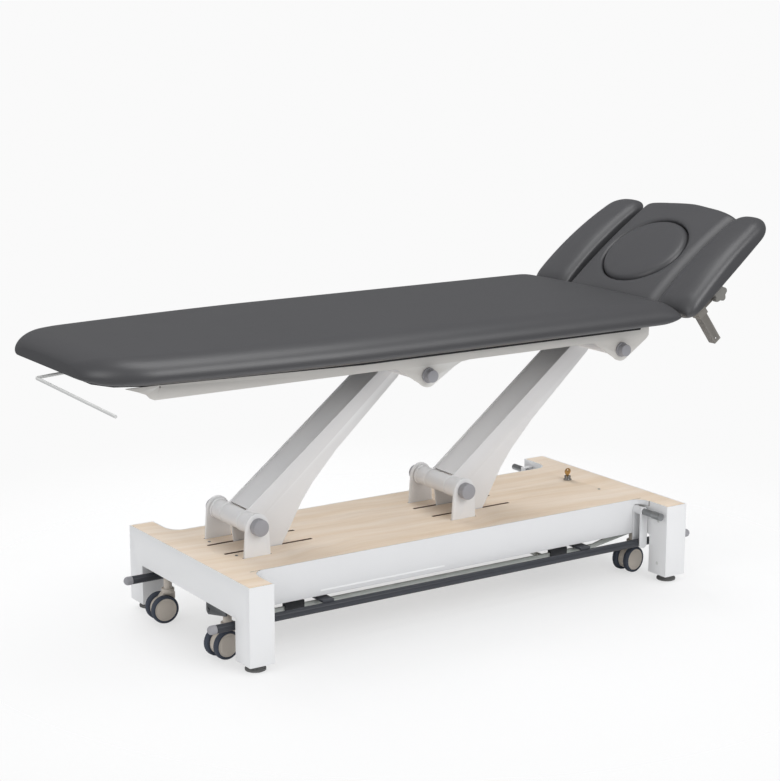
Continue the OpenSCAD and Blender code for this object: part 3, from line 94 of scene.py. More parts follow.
# %% [markdown]
# ## Floor, backdrop and light
# The table was photographed on white, with hardly a shadow. The floor is a pale
# sheet whose soft shadow is lifted for the camera, and it fades into the white. An
# emission mixed in for camera rays does the lifting, and the light on the table
# stays as it is. The world is a soft light from all sides, near white where the
# camera sees it and grey in reflections, as the dark room behind a photographer is.


# %% Floor and world
def group_nodes(owner):
    """The empty node tree of a material or world."""
    owner.use_nodes = True
    tree = owner.node_tree
    tree.nodes.clear()
    return tree


def blend_by(tree, share, first, second):
    """A mix of two shaders: the second one where the share is 1."""
    mix = tree.nodes.new("ShaderNodeMixShader")
    tree.links.new(share, mix.inputs[0])
    tree.links.new(first, mix.inputs[1])
    tree.links.new(second, mix.inputs[2])
    return mix.outputs[0]


def backdrop(tree, colour):
    """An even background of one colour."""
    made = tree.nodes.new("ShaderNodeBackground")
    made.inputs["Color"].default_value = (*colour, 1)
    return made.outputs[0]


world = bpy.data.worlds.new("studio")
bpy.context.scene.world = world
tree = group_nodes(world)
path = tree.nodes.new("ShaderNodeLightPath")
seen = tree.nodes.new("ShaderNodeMath")
seen.operation = "MAXIMUM"
tree.links.new(path.outputs["Is Camera Ray"], seen.inputs[0])
tree.links.new(path.outputs["Is Transmission Ray"], seen.inputs[1])
WHITE = (0.955, 0.955, 0.955)
lit = backdrop(tree, (0.70, 0.71, 0.725))
mirrored = backdrop(tree, (0.20, 0.20, 0.205))
behind = backdrop(tree, WHITE)
shaded = blend_by(tree, path.outputs["Is Glossy Ray"], lit, mirrored)
whole = blend_by(tree, seen.outputs[0], shaded, behind)
tree.links.new(whole, tree.nodes.new("ShaderNodeOutputWorld").inputs[0])

FLOOR, FADE_FROM, FADE_TO, LIFT = 14, 0.5, 2.0, 0.6
floor_mesh = bpy.data.meshes.new("floor")
floor_mesh.from_pydata([(-FLOOR, -FLOOR, 0), (FLOOR, -FLOOR, 0), (FLOOR, FLOOR, 0),
                        (-FLOOR, FLOOR, 0)], [], [(0, 1, 2, 3)])
floor = bpy.data.objects.new("floor", floor_mesh)
bpy.context.scene.collection.objects.link(floor)
floor_finish = bpy.data.materials.new("floor_paper")
tree = group_nodes(floor_finish)
paper = tree.nodes.new("ShaderNodeBsdfPrincipled")
paper.inputs["Base Color"].default_value = (0.93, 0.93, 0.93, 1)
paper.inputs["Roughness"].default_value = 0.9
paper.inputs["Specular IOR Level"].default_value = 0.1
spot = tree.nodes.new("ShaderNodeTexCoord")
reach = tree.nodes.new("ShaderNodeVectorMath")
reach.operation = "LENGTH"
tree.links.new(spot.outputs["Object"], reach.inputs[0])
fade = tree.nodes.new("ShaderNodeMapRange")
fade.interpolation_type = "SMOOTHSTEP"
fade.inputs["From Min"].default_value = FADE_FROM
fade.inputs["From Max"].default_value = FADE_TO
tree.links.new(reach.outputs["Value"], fade.inputs["Value"])
clear = tree.nodes.new("ShaderNodeBsdfTransparent")
bright = tree.nodes.new("ShaderNodeEmission")
bright.inputs["Color"].default_value = (*WHITE, 1)
path = tree.nodes.new("ShaderNodeLightPath")
lift = tree.nodes.new("ShaderNodeMath")
lift.operation = "MULTIPLY"
lift.inputs[1].default_value = LIFT
tree.links.new(path.outputs["Is Camera Ray"], lift.inputs[0])
lifted = blend_by(tree, lift.outputs[0], paper.outputs[0], bright.outputs[0])
faded = blend_by(tree, fade.outputs[0], lifted, clear.outputs[0])
tree.links.new(faded, tree.nodes.new("ShaderNodeOutputMaterial").inputs[0])
floor_mesh.materials.append(floor_finish)
print("floor", 2 * FLOOR, "m wide, clear beyond", FADE_TO, "m")

# %% [markdown]
# ## Lamps
# A large lamp in front of the long side gives the skirts and arms their bright face,
# and smaller ones fill the foot end and the top. One more behind reaches under the
# top and lights the wood. Square area lamps are used, since a studio has soft boxes.
# The one behind is kept out of reflections, where it would draw a hard window.


# %% Lamps
def lamp(name, spot, aim, size, power):
    """A square soft lamp at spot that looks at aim."""
    data = bpy.data.lights.new(name, "AREA")
    data.shape = "SQUARE"
    data.size = size
    data.energy = power
    thing = bpy.data.objects.new(name, data)
    thing.location = spot
    thing.rotation_euler = (Vector(aim) - Vector(spot)).to_track_quat("-Z", "Y").to_euler()
    bpy.context.scene.collection.objects.link(thing)
    return thing


lamp("front_lamp", (0.9, -4.2, 3.4), (0, 0, 0.45), 3.2, 88)
lamp("foot_lamp", (-4.4, -1.0, 2.6), (-0.4, 0, 0.5), 2.6, 30)
lamp("top_lamp", (0.3, -0.2, 4.6), (0, 0, 0.6), 2.6, 42)
back = lamp("back_lamp", (0.3, 4.8, 3.3), (0, 0, 0.25), 3.6, 150)
back.visible_glossy = False
bpy.context.scene.view_settings.view_transform = "Standard"

# %% [markdown]
# ## Finishes
# Each finish on the table differs in a few things only: its colour and how far it
# drifts, its gloss, and the grain that the fingers would feel. A material could be
# painted by hand for each, but one maker that takes these as numbers keeps them
# alike. It reads the grain from the place on the object, so no unwrapping is needed.
# Real edges are lighter where they are rubbed, so the paint gets that from the
# sharpness of the surface.


# %% The maker of finishes
GLOSS_DRIFT = 0.06
WAVES_PER_METRE, WAVE_HEIGHT = 14, 0.004


def finish(name, colour, gloss, metal=0.0, drift=0.04, patch=5.0, grain=900.0, relief=0.12,
           deep=0.0004, run=(1, 1, 1), wear=None, cells=False, ripple=0.0, shine=0.5):
    """A material whose colour and gloss drift in patches, with a fine grain.

    gloss is the mean roughness, wear the colour of rubbed edges, run the stretch of
    the pattern. cells gives pebbles instead of a plain grain, and ripple slow waves."""
    made = bpy.data.materials.new(name)
    tree = group_nodes(made)
    new, link = tree.nodes.new, tree.links.new
    skin = new("ShaderNodeBsdfPrincipled")
    out = new("ShaderNodeOutputMaterial")
    link(skin.outputs[0], out.inputs[0])
    where = new("ShaderNodeTexCoord")
    along = new("ShaderNodeMapping")
    along.inputs["Scale"].default_value = run
    link(where.outputs["Object"], along.inputs[0])
    cloud = new("ShaderNodeTexNoise")
    cloud.inputs["Scale"].default_value = patch
    cloud.inputs["Detail"].default_value = 5
    cloud.inputs["Roughness"].default_value = 0.6
    link(along.outputs[0], cloud.inputs["Vector"])
    base = lin(colour)
    tint = new("ShaderNodeValToRGB")
    deeper, lighter = tint.color_ramp.elements
    deeper.position, lighter.position = 0.325, 0.675
    deeper.color = [c * (1 - drift) for c in base[:3]] + [1]
    lighter.color = [min(1, c * (1 + 2 * drift)) for c in base[:3]] + [1]
    link(cloud.outputs["Fac"], tint.inputs[0])
    colour_out = tint.outputs[0]
    if wear:
        shape = new("ShaderNodeNewGeometry")
        ramp = new("ShaderNodeValToRGB")
        ramp.color_ramp.elements[0].position = 0.515
        ramp.color_ramp.elements[1].position = 0.60
        link(shape.outputs["Pointiness"], ramp.inputs[0])
        rub = new("ShaderNodeMix")
        rub.data_type = "RGBA"
        link(ramp.outputs[0], rub.inputs["Factor"])
        link(colour_out, rub.inputs["A"])
        rub.inputs["B"].default_value = lin(wear)
        colour_out = rub.outputs["Result"]
    link(colour_out, skin.inputs["Base Color"])
    tooth = new("ShaderNodeTexVoronoi" if cells else "ShaderNodeTexNoise")
    tooth.inputs["Scale"].default_value = grain
    if not cells:
        tooth.inputs["Detail"].default_value = 3
    link(along.outputs[0], tooth.inputs["Vector"])
    height = tooth.outputs["Distance" if cells else "Fac"]
    matt = new("ShaderNodeMapRange")
    matt.inputs["To Min"].default_value = gloss - GLOSS_DRIFT
    matt.inputs["To Max"].default_value = gloss + GLOSS_DRIFT
    link(cloud.outputs["Fac"], matt.inputs["Value"])
    link(matt.outputs[0], skin.inputs["Roughness"])
    bump = new("ShaderNodeBump")
    bump.inputs["Strength"].default_value = relief
    bump.inputs["Distance"].default_value = deep
    link(height, bump.inputs["Height"])
    if ripple:
        swell = new("ShaderNodeTexNoise")
        swell.inputs["Scale"].default_value = WAVES_PER_METRE
        swell.inputs["Detail"].default_value = 2
        link(where.outputs["Object"], swell.inputs["Vector"])
        soft = new("ShaderNodeBump")
        soft.inputs["Strength"].default_value = ripple
        soft.inputs["Distance"].default_value = WAVE_HEIGHT
        link(swell.outputs["Fac"], soft.inputs["Height"])
        link(soft.outputs[0], bump.inputs["Normal"])
    link(bump.outputs[0], skin.inputs["Normal"])
    skin.inputs["Metallic"].default_value = metal
    skin.inputs["Specular IOR Level"].default_value = shine
    return made


# %% [markdown]
# ## Paints, metals and plastics
# The steel is powder coated in a cool white, the top frame in a warmer one, and the
# head section in a brown grey. The beams and bars are zinc, the caps and wheels
# moulded. A separate finish for each keeps those small differences, which a single
# grey would lose.

# %% The finishes of this table
pale_coat = finish("pale_powder_coat", "dcdcdd", 0.48, drift=0.012, patch=3, grain=1400,
                   relief=0.10, wear="ececec")
arm_coat = finish("arm_powder_coat", "e0dfdf", 0.46, drift=0.012, patch=3, grain=1400,
                  relief=0.10, wear="eeeeee")
warm_coat = finish("warm_powder_coat", "d4d0ca", 0.48, drift=0.015, patch=3, grain=1400,
                   relief=0.10, wear="e4e2de")
post_coat = finish("post_powder_coat", "6d6964", 0.45, drift=0.03, patch=6, grain=1400,
                   relief=0.12, wear="8a8680", shine=0.35)
rail_coat = finish("charcoal_coat", "34363b", 0.42, drift=0.04, patch=8, grain=1400,
                   relief=0.12, wear="4a4c52", shine=0.35)
rod_coat = finish("white_rod_coat", "d2d2d0", 0.35, drift=0.01, grain=1400, relief=0.06)
zinc = finish("dull_zinc", "8d8f90", 0.42, metal=0.75, drift=0.06, patch=20, grain=260,
              relief=0.06, run=(1, 6, 6), wear="b4b5b6")
dark_zinc = finish("dark_zinc", "5c5e60", 0.45, metal=0.6, drift=0.06, patch=20, grain=260,
                   relief=0.06, wear="7c7e80")
bright_zinc = finish("bright_zinc", "b4b8b3", 0.45, metal=0.3, drift=0.05, patch=20, grain=260,
                     relief=0.06, wear="c8cbc8")
ground_steel = finish("ground_steel", "b6b7b9", 0.24, metal=0.95, drift=0.03, patch=30,
                      grain=900, relief=0.05, run=(0.2, 8, 8))
cap_grey = finish("moulded_grey", "98979b", 0.5, drift=0.02, patch=12, grain=1800, relief=0.10,
                  wear="a6a5a9")
black_plastic = finish("moulded_black", "242528", 0.48, drift=0.05, patch=12, grain=1500,
                       relief=0.14, wear="38393c")
greige = finish("castor_greige", "c4bbb0", 0.42, drift=0.02, patch=10, grain=1800, relief=0.06)
tread = finish("castor_tread", "3c414c", 0.62, drift=0.06, patch=18, grain=1200, relief=0.2,
               wear="4c525e", shine=0.3)
foot_rubber = finish("foot_rubber", "60605f", 0.7, drift=0.05, patch=18, grain=1200, relief=0.2)
knob_grey = finish("knob_grey", "817f7b", 0.46, drift=0.02, patch=12, grain=1800, relief=0.08)
brass = finish("key_brass", "b7925c", 0.3, metal=0.9, drift=0.06, patch=40, grain=1200,
               relief=0.05, wear="d6b784")
nickel = finish("lock_nickel", "b9b8b5", 0.22, metal=0.95, drift=0.03, patch=40, grain=1200,
                relief=0.04)
black_board = finish("black_board", "2b2b2d", 0.72, drift=0.08, patch=24, grain=500, relief=0.3,
                     run=(0.3, 1, 1))
hide = finish("grey_imitation_leather", "444446", 0.40, drift=0.02, patch=2.5, grain=1100,
              relief=0.14, deep=0.0005, cells=True, ripple=0.03, shine=1.0)
white_line = finish("white_line", "f0f0f0", 0.5, drift=0.005, grain=1400, relief=0.05)
print("finishes", len(bpy.data.materials) - 1)

# %% [markdown]
# ## Birch for the deck
# The deck is cut from a pale sheet of ply. Its face shows long, faint bands that run
# along the table, and thin darker pores. Stretching a noise along X gives the bands,
# and a second, finer noise gives the pores. Faces that stand upright, the walls of the
# slits among them, take a dark brown: painted shade for the shade inside the slits.


# %% Birch
def birch_finish():
    """Long bands under fine pores, and upright faces in dark brown as painted shade."""
    made = bpy.data.materials.new("lacquered_birch")
    tree = group_nodes(made)
    new, link = tree.nodes.new, tree.links.new
    skin = new("ShaderNodeBsdfPrincipled")
    link(skin.outputs[0], new("ShaderNodeOutputMaterial").inputs[0])
    where = new("ShaderNodeTexCoord")
    warp = new("ShaderNodeTexNoise")
    warp.inputs["Scale"].default_value = 2.2
    warp.inputs["Detail"].default_value = 2
    link(where.outputs["Object"], warp.inputs["Vector"])
    shift = new("ShaderNodeVectorMath")
    shift.operation = "MULTIPLY_ADD"
    shift.inputs[1].default_value = (0.0, 0.16, 0.0)
    link(warp.outputs["Color"], shift.inputs[0])
    link(where.outputs["Object"], shift.inputs[2])
    bands = new("ShaderNodeMapping")
    bands.inputs["Scale"].default_value = (0.9, 15, 15)
    link(shift.outputs[0], bands.inputs[0])
    broad = new("ShaderNodeTexNoise")
    broad.inputs["Scale"].default_value = 1.6
    broad.inputs["Detail"].default_value = 6
    broad.inputs["Roughness"].default_value = 0.55
    link(bands.outputs[0], broad.inputs["Vector"])
    ramp = new("ShaderNodeValToRGB")
    late, early = ramp.color_ramp.elements
    late.position, late.color = 0.32, lin("ecd5b9")
    early.position, early.color = 0.66, lin("f8e8d6")
    middle = ramp.color_ramp.elements.new(0.5)
    middle.color = lin("f3e0ca")
    link(broad.outputs["Fac"], ramp.inputs[0])
    fine = new("ShaderNodeMapping")
    fine.inputs["Scale"].default_value = (9, 420, 420)
    link(shift.outputs[0], fine.inputs[0])
    pores = new("ShaderNodeTexNoise")
    pores.inputs["Scale"].default_value = 1.0
    pores.inputs["Detail"].default_value = 3
    link(fine.outputs[0], pores.inputs["Vector"])
    dark = new("ShaderNodeValToRGB")
    pore, plain = dark.color_ramp.elements
    pore.position, pore.color = 0.33, (0.80, 0.76, 0.71, 1)
    plain.position, plain.color = 0.47, (1, 1, 1, 1)
    link(pores.outputs["Fac"], dark.inputs[0])
    mix = new("ShaderNodeMix")
    mix.data_type = "RGBA"
    mix.blend_type = "MULTIPLY"
    mix.inputs["Factor"].default_value = 0.4
    link(ramp.outputs[0], mix.inputs["A"])
    link(dark.outputs[0], mix.inputs["B"])
    # painted shade: faces that stand upright, the slit walls among them, turn dark brown
    facing_up = new("ShaderNodeNewGeometry")
    parts = new("ShaderNodeSeparateXYZ")
    link(facing_up.outputs["True Normal"], parts.inputs[0])
    upright = new("ShaderNodeMath")
    upright.operation = "ABSOLUTE"
    link(parts.outputs["Z"], upright.inputs[0])
    painted_slit_shade = new("ShaderNodeMix")
    painted_slit_shade.data_type = "RGBA"
    link(upright.outputs[0], painted_slit_shade.inputs["Factor"])
    painted_slit_shade.inputs["A"].default_value = lin("5a4331")
    link(mix.outputs["Result"], painted_slit_shade.inputs["B"])
    link(painted_slit_shade.outputs["Result"], skin.inputs["Base Color"])
    bump = new("ShaderNodeBump")
    bump.inputs["Strength"].default_value = 0.12
    bump.inputs["Distance"].default_value = 0.0003
    link(pores.outputs["Fac"], bump.inputs["Height"])
    link(bump.outputs[0], skin.inputs["Normal"])
    skin.inputs["Roughness"].default_value = 0.5
    skin.inputs["Coat Weight"].default_value = 0.12
    skin.inputs["Coat Roughness"].default_value = 0.35
    return made


birch = birch_finish()
print("birch nodes", len(birch.node_tree.nodes))

# %% [markdown]
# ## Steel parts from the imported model
# Folded sheet, cut plate and turned pins already have their true shape. What a plain
# model lacks is the small radius on every edge that catches the light. Each such
# part is copied, its flat faces are joined again, and a narrow bevel rounds the
# edges. The copy stands for the part and moves with its body.


# %% Rounded copies
record = frame["record"]
body_of = {node: body for body, members in record["behaviour"]["bodies"].items()
           for node in members}


def show(mesh, name, look, body, stands_for=()):
    """A new piece of the table: its mesh, look, body and the nodes it stands for."""
    thing = bpy.data.objects.new(name, mesh)
    bpy.context.scene.collection.objects.link(thing)
    mesh.materials.clear()
    mesh.materials.append(look)
    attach(thing, body)
    if stands_for:
        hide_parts(*stands_for)
    return thing


def smooth(mesh, angle):
    """Smooth shading, with edges sharper than the angle kept."""
    for face in mesh.polygons:
        face.use_smooth = True
    mesh.set_sharp_from_angle(angle=math.radians(angle))


def applied(thing):
    """The mesh of an object with its modifiers applied, as new data."""
    deps = bpy.context.evaluated_depsgraph_get()
    return bpy.data.meshes.new_from_object(thing.evaluated_get(deps))


WELD, FLAT_ANGLE, SOFT_ANGLE = 0.00002, math.radians(0.4), 32


def rounded(node, look, width, steps=2, name=None):
    """The node's shape with a small radius on its edges."""
    mesh = nodes[node].data.copy()
    work = bmesh.new()
    work.from_mesh(mesh)
    bmesh.ops.remove_doubles(work, verts=work.verts, dist=WELD)
    bmesh.ops.dissolve_limit(work, angle_limit=FLAT_ANGLE, verts=work.verts, edges=work.edges)
    work.to_mesh(mesh)
    work.free()
    if "custom_normal" in mesh.attributes:
        mesh.attributes.remove(mesh.attributes["custom_normal"])
    thing = bpy.data.objects.new("work", mesh)
    bpy.context.scene.collection.objects.link(thing)
    bevel = thing.modifiers.new("edge", "BEVEL")
    bevel.width = width
    bevel.segments = steps
    bevel.limit_method = "ANGLE"
    bevel.angle_limit = math.radians(38)
    final = applied(thing)
    bpy.data.objects.remove(thing)
    smooth(final, SOFT_ANGLE)
    return show(final, name or node + "_shell", look, body_of[node], (node,))


# node, finish, radius of the edges
STEEL = [
    ("foot_portal", pale_coat, 0.0018), ("head_portal", pale_coat, 0.0018),
    ("near_skirt", pale_coat, 0.0008), ("far_skirt", pale_coat, 0.0008),
    ("pivot_ears", arm_coat, 0.0014),
    ("foot_arm", arm_coat, 0.0014), ("head_arm", arm_coat, 0.0014),
    ("near_frame_plate", warm_coat, 0.0014), ("far_frame_plate", warm_coat, 0.0014),
    ("frame_cross_tubes", warm_coat, 0.0010), ("chassis", zinc, 0.0010),
    ("head_frame", post_coat, 0.0012), ("near_armrest_post", post_coat, 0.0012),
    ("far_armrest_post", post_coat, 0.0012), ("near_armrest_carrier", post_coat, 0.0012),
    ("far_armrest_carrier", post_coat, 0.0012), ("lower_pivot_pins", cap_grey, 0.0020),
    ("upper_pivot_pins", cap_grey, 0.0016), ("rail_shafts", zinc, 0.0010),
    ("foot_rail_lever", pale_coat, 0.0014), ("head_rail_lever", pale_coat, 0.0014),
    ("foot_rails", rail_coat, 0.0010), ("rail_cross_pieces", rail_coat, 0.0010),
    ("foot_castor_beam", dark_zinc, 0.0010),
    ("head_castor_beam", dark_zinc, 0.0010), ("castor_cam_bars", bright_zinc, 0.0008),
    ("bar_guides", black_plastic, 0.0012), ("castor_pedal", black_plastic, 0.0020),
    ("actuator_body", black_plastic, 0.0020), ("actuator_rod", ground_steel, 0.0010),
    ("control_box", black_plastic, 0.0030), ("power_inlet", black_plastic, 0.0015),
    ("key_barrel", nickel, 0.0010), ("key", brass, 0.0005),
    ("main_board", black_board, 0.0012), ("head_board", black_board, 0.0012),
]
for node, look, width in STEEL:
    rounded(node, look, width)
print("rounded", len(STEEL), "parts")

# %% [markdown]
# ## The wooden deck
# The deck is one sheet with a small radius on its edges and slits for the arms. It
# could be a plain box with cuts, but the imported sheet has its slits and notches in
# their true places, so it is rounded as the steel is.

# %% Deck
deck = rounded("deck", birch, 0.0010, name="birch_deck")
print("deck", len(deck.data.polygons), "faces")


# %% [markdown]
# ## Turned and stacked shapes
# Wheels, feet, screws and caps are all round. Their outline is a short list of
# radius and height in metres, and turning it round an axis gives the piece. Two
# helpers place such a piece along any direction.


# %% Turning
def turned(outline, around=48):
    """Vertices and faces of an outline of (radius, height) turned round Z."""
    points, faces, rings = [], [], []
    for r, h in outline:
        if r < 1e-7:
            rings.append([len(points)])
            points.append(Vector((0, 0, h)))
        else:
            rings.append(list(range(len(points), len(points) + around)))
            angles = [2 * math.pi * i / around for i in range(around)]
            points += [Vector((r * math.cos(a), r * math.sin(a), h)) for a in angles]
    for a, b in zip(rings, rings[1:]):
        for i in range(around):
            j = (i + 1) % around
            if len(a) == 1 and len(b) > 1:
                faces.append((a[0], b[j], b[i]))
            elif len(b) == 1 and len(a) > 1:
                faces.append((a[i], a[j], b[0]))
            elif len(a) > 1:
                faces.append((a[i], a[j], b[j], b[i]))
    return points, faces


def placed(shapes):
    """One mesh from several (points, faces, matrix)."""
    points, faces = [], []
    for pts, fcs, at in shapes:
        start = len(points)
        points += [at @ p for p in pts]
        faces += [tuple(i + start for i in f) for f in fcs]
    mesh = bpy.data.meshes.new("shape")
    mesh.from_pydata([tuple(p) for p in points], [], faces)
    work = bmesh.new()
    work.from_mesh(mesh)
    bmesh.ops.recalc_face_normals(work, faces=work.faces)
    work.to_mesh(mesh)
    work.free()
    smooth(mesh, 35)
    return mesh


def facing(spot, direction):
    """A matrix that puts the origin at spot and turns Z into direction."""
    turn = Vector((0, 0, 1)).rotation_difference(Vector(direction)).to_matrix().to_4x4()
    return Matrix.Translation(Vector(spot)) @ turn


# %% [markdown]
# ## Castors
# Each castor has two wheels on one axle. A wheel is a dark tread with round
# shoulders round a domed, pale hub cover with a shallow ring in it. The tread and
# the cover are turned as two pieces, so each has its own finish. The axle's place
# and direction come from the joint, so the wheels roll true.

# %% Wheels
joints = {j["name"]: j for j in frame["joints"]}
wheel_in = 0.011
tread_line = [(0.0285, 0.0006), (0.0330, 0.0006), (0.0352, 0.0012), (0.0367, 0.0026),
              (0.0375, 0.0052), (0.0375, 0.0128), (0.0368, 0.0152), (0.0352, 0.0169),
              (0.0330, 0.0176), (0.0313, 0.0176), (0.0308, 0.0168), (0.0305, 0.0150),
              (0.0285, 0.0150)]
cover_line = [(0.0041, 0.0010), (0.0284, 0.0010), (0.0284, 0.0140), (0.0302, 0.0150),
              (0.0303, 0.0160), (0.0297, 0.0167), (0.0262, 0.0171), (0.0256, 0.0168),
              (0.0250, 0.0171), (0.0170, 0.0176), (0.0080, 0.01785), (0.0, 0.0179)]
for i in (1, 2, 3, 4):
    turn = joints[f"castor_{i}_roll"]
    hub = Vector(turn["pos_m"])
    line = Vector(turn["axis"]).normalized()
    treads, covers = [], []
    for side in (-1, 1):
        at = facing(hub + line * side * wheel_in, line * side)
        treads.append((*turned(tread_line + tread_line[:1], 64), at))
        covers.append((*turned(cover_line + cover_line[:1], 64), at))
    body = f"castor_{i}_wheels"
    show(placed(treads), f"castor_tread_{i}", tread, body, (f"castor_wheels_{i}",))
    show(placed(covers), f"castor_cover_{i}", greige, body)
    rounded(f"castor_housing_{i}", greige, 0.0028, steps=3, name=f"castor_hood_{i}")
print("castors", 4)

# %% [markdown]
# ## Levelling feet
# A foot is a moulded disc with a wide, soft rim on a threaded stud. A thin washer
# sits on the disc and stays clear of the leg when the foot is screwed in. Turning
# gives all three.

# %% Feet
foot_line = [(0, 0.0), (0.0245, 0.0), (0.0262, 0.0008), (0.0265, 0.0022), (0.0265, 0.0052),
             (0.0258, 0.0062), (0.0240, 0.0066), (0.0225, 0.0080), (0.0215, 0.0110),
             (0.0200, 0.0120), (0.0105, 0.0120), (0.0, 0.0120)]
CREST, ROOT, THREAD_LOW, PITCH, TURNS = 0.0060, 0.0053, 0.0115, 0.0009, 40
stud_line = [(0, 0.010)]
for step in range(TURNS):
    z = THREAD_LOW + step * PITCH
    stud_line += [(CREST, z), (ROOT, z + PITCH / 2)]
stud_line += [(0.0055, 0.0480), (0, 0.0480)]
washer_line = [(0, 0.0120), (0.0106, 0.0120), (0.0108, 0.0122), (0.0108, 0.0125),
               (0.0105, 0.0127), (0, 0.0127)]
for i in (1, 2, 3, 4):
    low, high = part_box(f"levelling_foot_{i}")
    at = Matrix.Translation(Vector(((low.x + high.x) / 2, (low.y + high.y) / 2, low.z)))
    body = f"levelling_foot_{i}"
    show(placed([(*turned(foot_line), at)]), f"foot_disc_{i}", foot_rubber, body,
         (f"levelling_foot_{i}",))
    metal = placed([(*turned(stud_line, 24), at), (*turned(washer_line, 24), at)])
    show(metal, f"foot_stud_{i}", zinc, body)
print("feet", 4, "with", TURNS, "turns of thread each")

# %% [markdown]
# ## Screws
# The screws have low round heads with a six-sided hole for the key. The hole is part
# of the turned outline, so no cutting is needed.


# %% Screw heads
def screw_head(r, h):
    """The outline of a round head of radius r and height h, with the hole for a key."""
    hole = r * 0.42
    return [(0, h * 0.35), (hole, h * 0.35), (hole * 1.04, h * 0.93), (hole * 1.12, h),
            (r * 0.62, h), (r * 0.86, h * 0.72), (r, h * 0.25), (r, 0), (0, 0)]


LEG_FACE, LEG_MIDDLE, LEG_HEIGHTS = 0.630, 0.291, (0.053, 0.176)
leg_head, deck_head = screw_head(0.0048, 0.0018), screw_head(0.0042, 0.0015)
leg_heads = []
for side in (-1, 1):
    for across in (-1, 1):
        for z in LEG_HEIGHTS:
            spot = Vector((side * LEG_FACE, across * LEG_MIDDLE, z))
            leg_heads.append((*turned(leg_head, 24), facing(spot, (-side, 0, 0))))
show(placed(leg_heads), "leg_screw_heads", rod_coat, "base", ("leg_screws",))
low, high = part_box("deck_screws")
deck_heads = []
for spot in [(0.594, -0.073), (0.594, 0.073), (-0.594, -0.073), (-0.594, 0.073)]:
    deck_heads.append((*turned(deck_head, 24), facing((*spot, low.z), (0, 0, 1))))
show(placed(deck_heads), "deck_screw_heads", zinc, "base", ("deck_screws",))
print("screw heads", len(leg_heads) + len(deck_heads))

# %% [markdown]
# ## The roll rod
# The rod for the paper roll is one bent wire with a tight bend and a rounded tip.
# A curve with a round section is the plainest way: its points are the wire's line.


# %% Rod
def wire(name, points, r, look, body, stands_for=(), around=10):
    """A round wire of radius r through the points."""
    data = bpy.data.curves.new(name, "CURVE")
    data.dimensions = "3D"
    data.bevel_depth = r
    data.bevel_resolution = around
    data.use_fill_caps = True
    line = data.splines.new("POLY")
    line.points.add(len(points) - 1)
    for p, q in zip(line.points, points):
        p.co = (*q, 1)
    thing = bpy.data.objects.new(name, data)
    bpy.context.scene.collection.objects.link(thing)
    mesh = applied(thing)
    bpy.data.objects.remove(thing)
    smooth(mesh, 40)
    return show(mesh, name, look, body, stands_for)


lean, droop, skew = math.radians(3.5), math.radians(1.9), math.radians(0.8)
leg = Vector((-math.cos(lean), 0, -math.sin(lean)))
reach = Vector((math.cos(droop) * math.sin(skew), -math.cos(droop) * math.cos(skew),
                -math.sin(droop)))
IN_BOARD, OUT_LENGTH, RUN, BEND, ROD_R = 0.059, 0.080, 0.4245, 0.008, 0.004
board_edge = Vector((-1.006, 0.006, 0.732668))
corner = board_edge + leg * OUT_LENGTH
line = [board_edge - leg * IN_BOARD, board_edge]
for k in range(9):
    a = math.pi / 2 * k / 8
    line.append(corner - leg * (BEND * (1 - math.sin(a))) + reach * (BEND * (1 - math.cos(a))))
line += [corner + reach * 0.2, corner + reach * RUN]
wire("paper_roll_rod", line, ROD_R, rod_coat, "roll_rod", ("roll_rod",))
print("rod", round(RUN, 3), "m across the foot end")

# %% [markdown]
# ## Rail caps
# Each rail ends in a moulded cap: a short collar and a round nose. A cap could be a
# half sphere, but the collar gives the thin line that shows where it meets the rail.

# %% Caps
CAP_R, COLLAR, NOSE = 0.0115, 0.0110, 0.0112
RAIL_Y, RAIL_Z = 0.233, 0.102
cap_line = [(0, 0), (0.0112, 0), (CAP_R, 0.0006), (CAP_R, 0.0106)]
cap_line += [(CAP_R * math.cos(a), COLLAR + NOSE * math.sin(a))
             for a in [math.pi / 2 * k / 10 for k in range(10)]] + [(0, COLLAR + NOSE)]
caps = []
for end, x in ((-1, -0.743), (1, 0.776)):
    for y in (-RAIL_Y, RAIL_Y):
        caps.append((*turned(cap_line, 40), facing((x, y, RAIL_Z), (end, 0, 0))))
show(placed(caps), "rail_end_caps", cap_grey, "rails", ("rail_caps",))
print("rail caps", len(caps))

# %% [markdown]
# ## Clamping knobs
# A knob is a five-lobed moulding with soft edges. Its outline is a circle whose
# radius swells five times. Stacked rings of that outline, smaller at both faces,
# give the rounded edge, and a low boss marks its middle.

# %% Knobs
LOBES, KNOB_COUNT, KNOB_R, KNOB_SWELL = 5, 90, 0.0195, 0.0068


def lobed(scale):
    """The radii of the knob's outline, times a scale."""
    ring = []
    for i in range(KNOB_COUNT):
        a = 2 * math.pi * i / KNOB_COUNT
        wave = 0.5 + 0.5 * math.cos(LOBES * a)
        ring.append((KNOB_R + KNOB_SWELL * wave ** 0.8) * scale)
    return ring


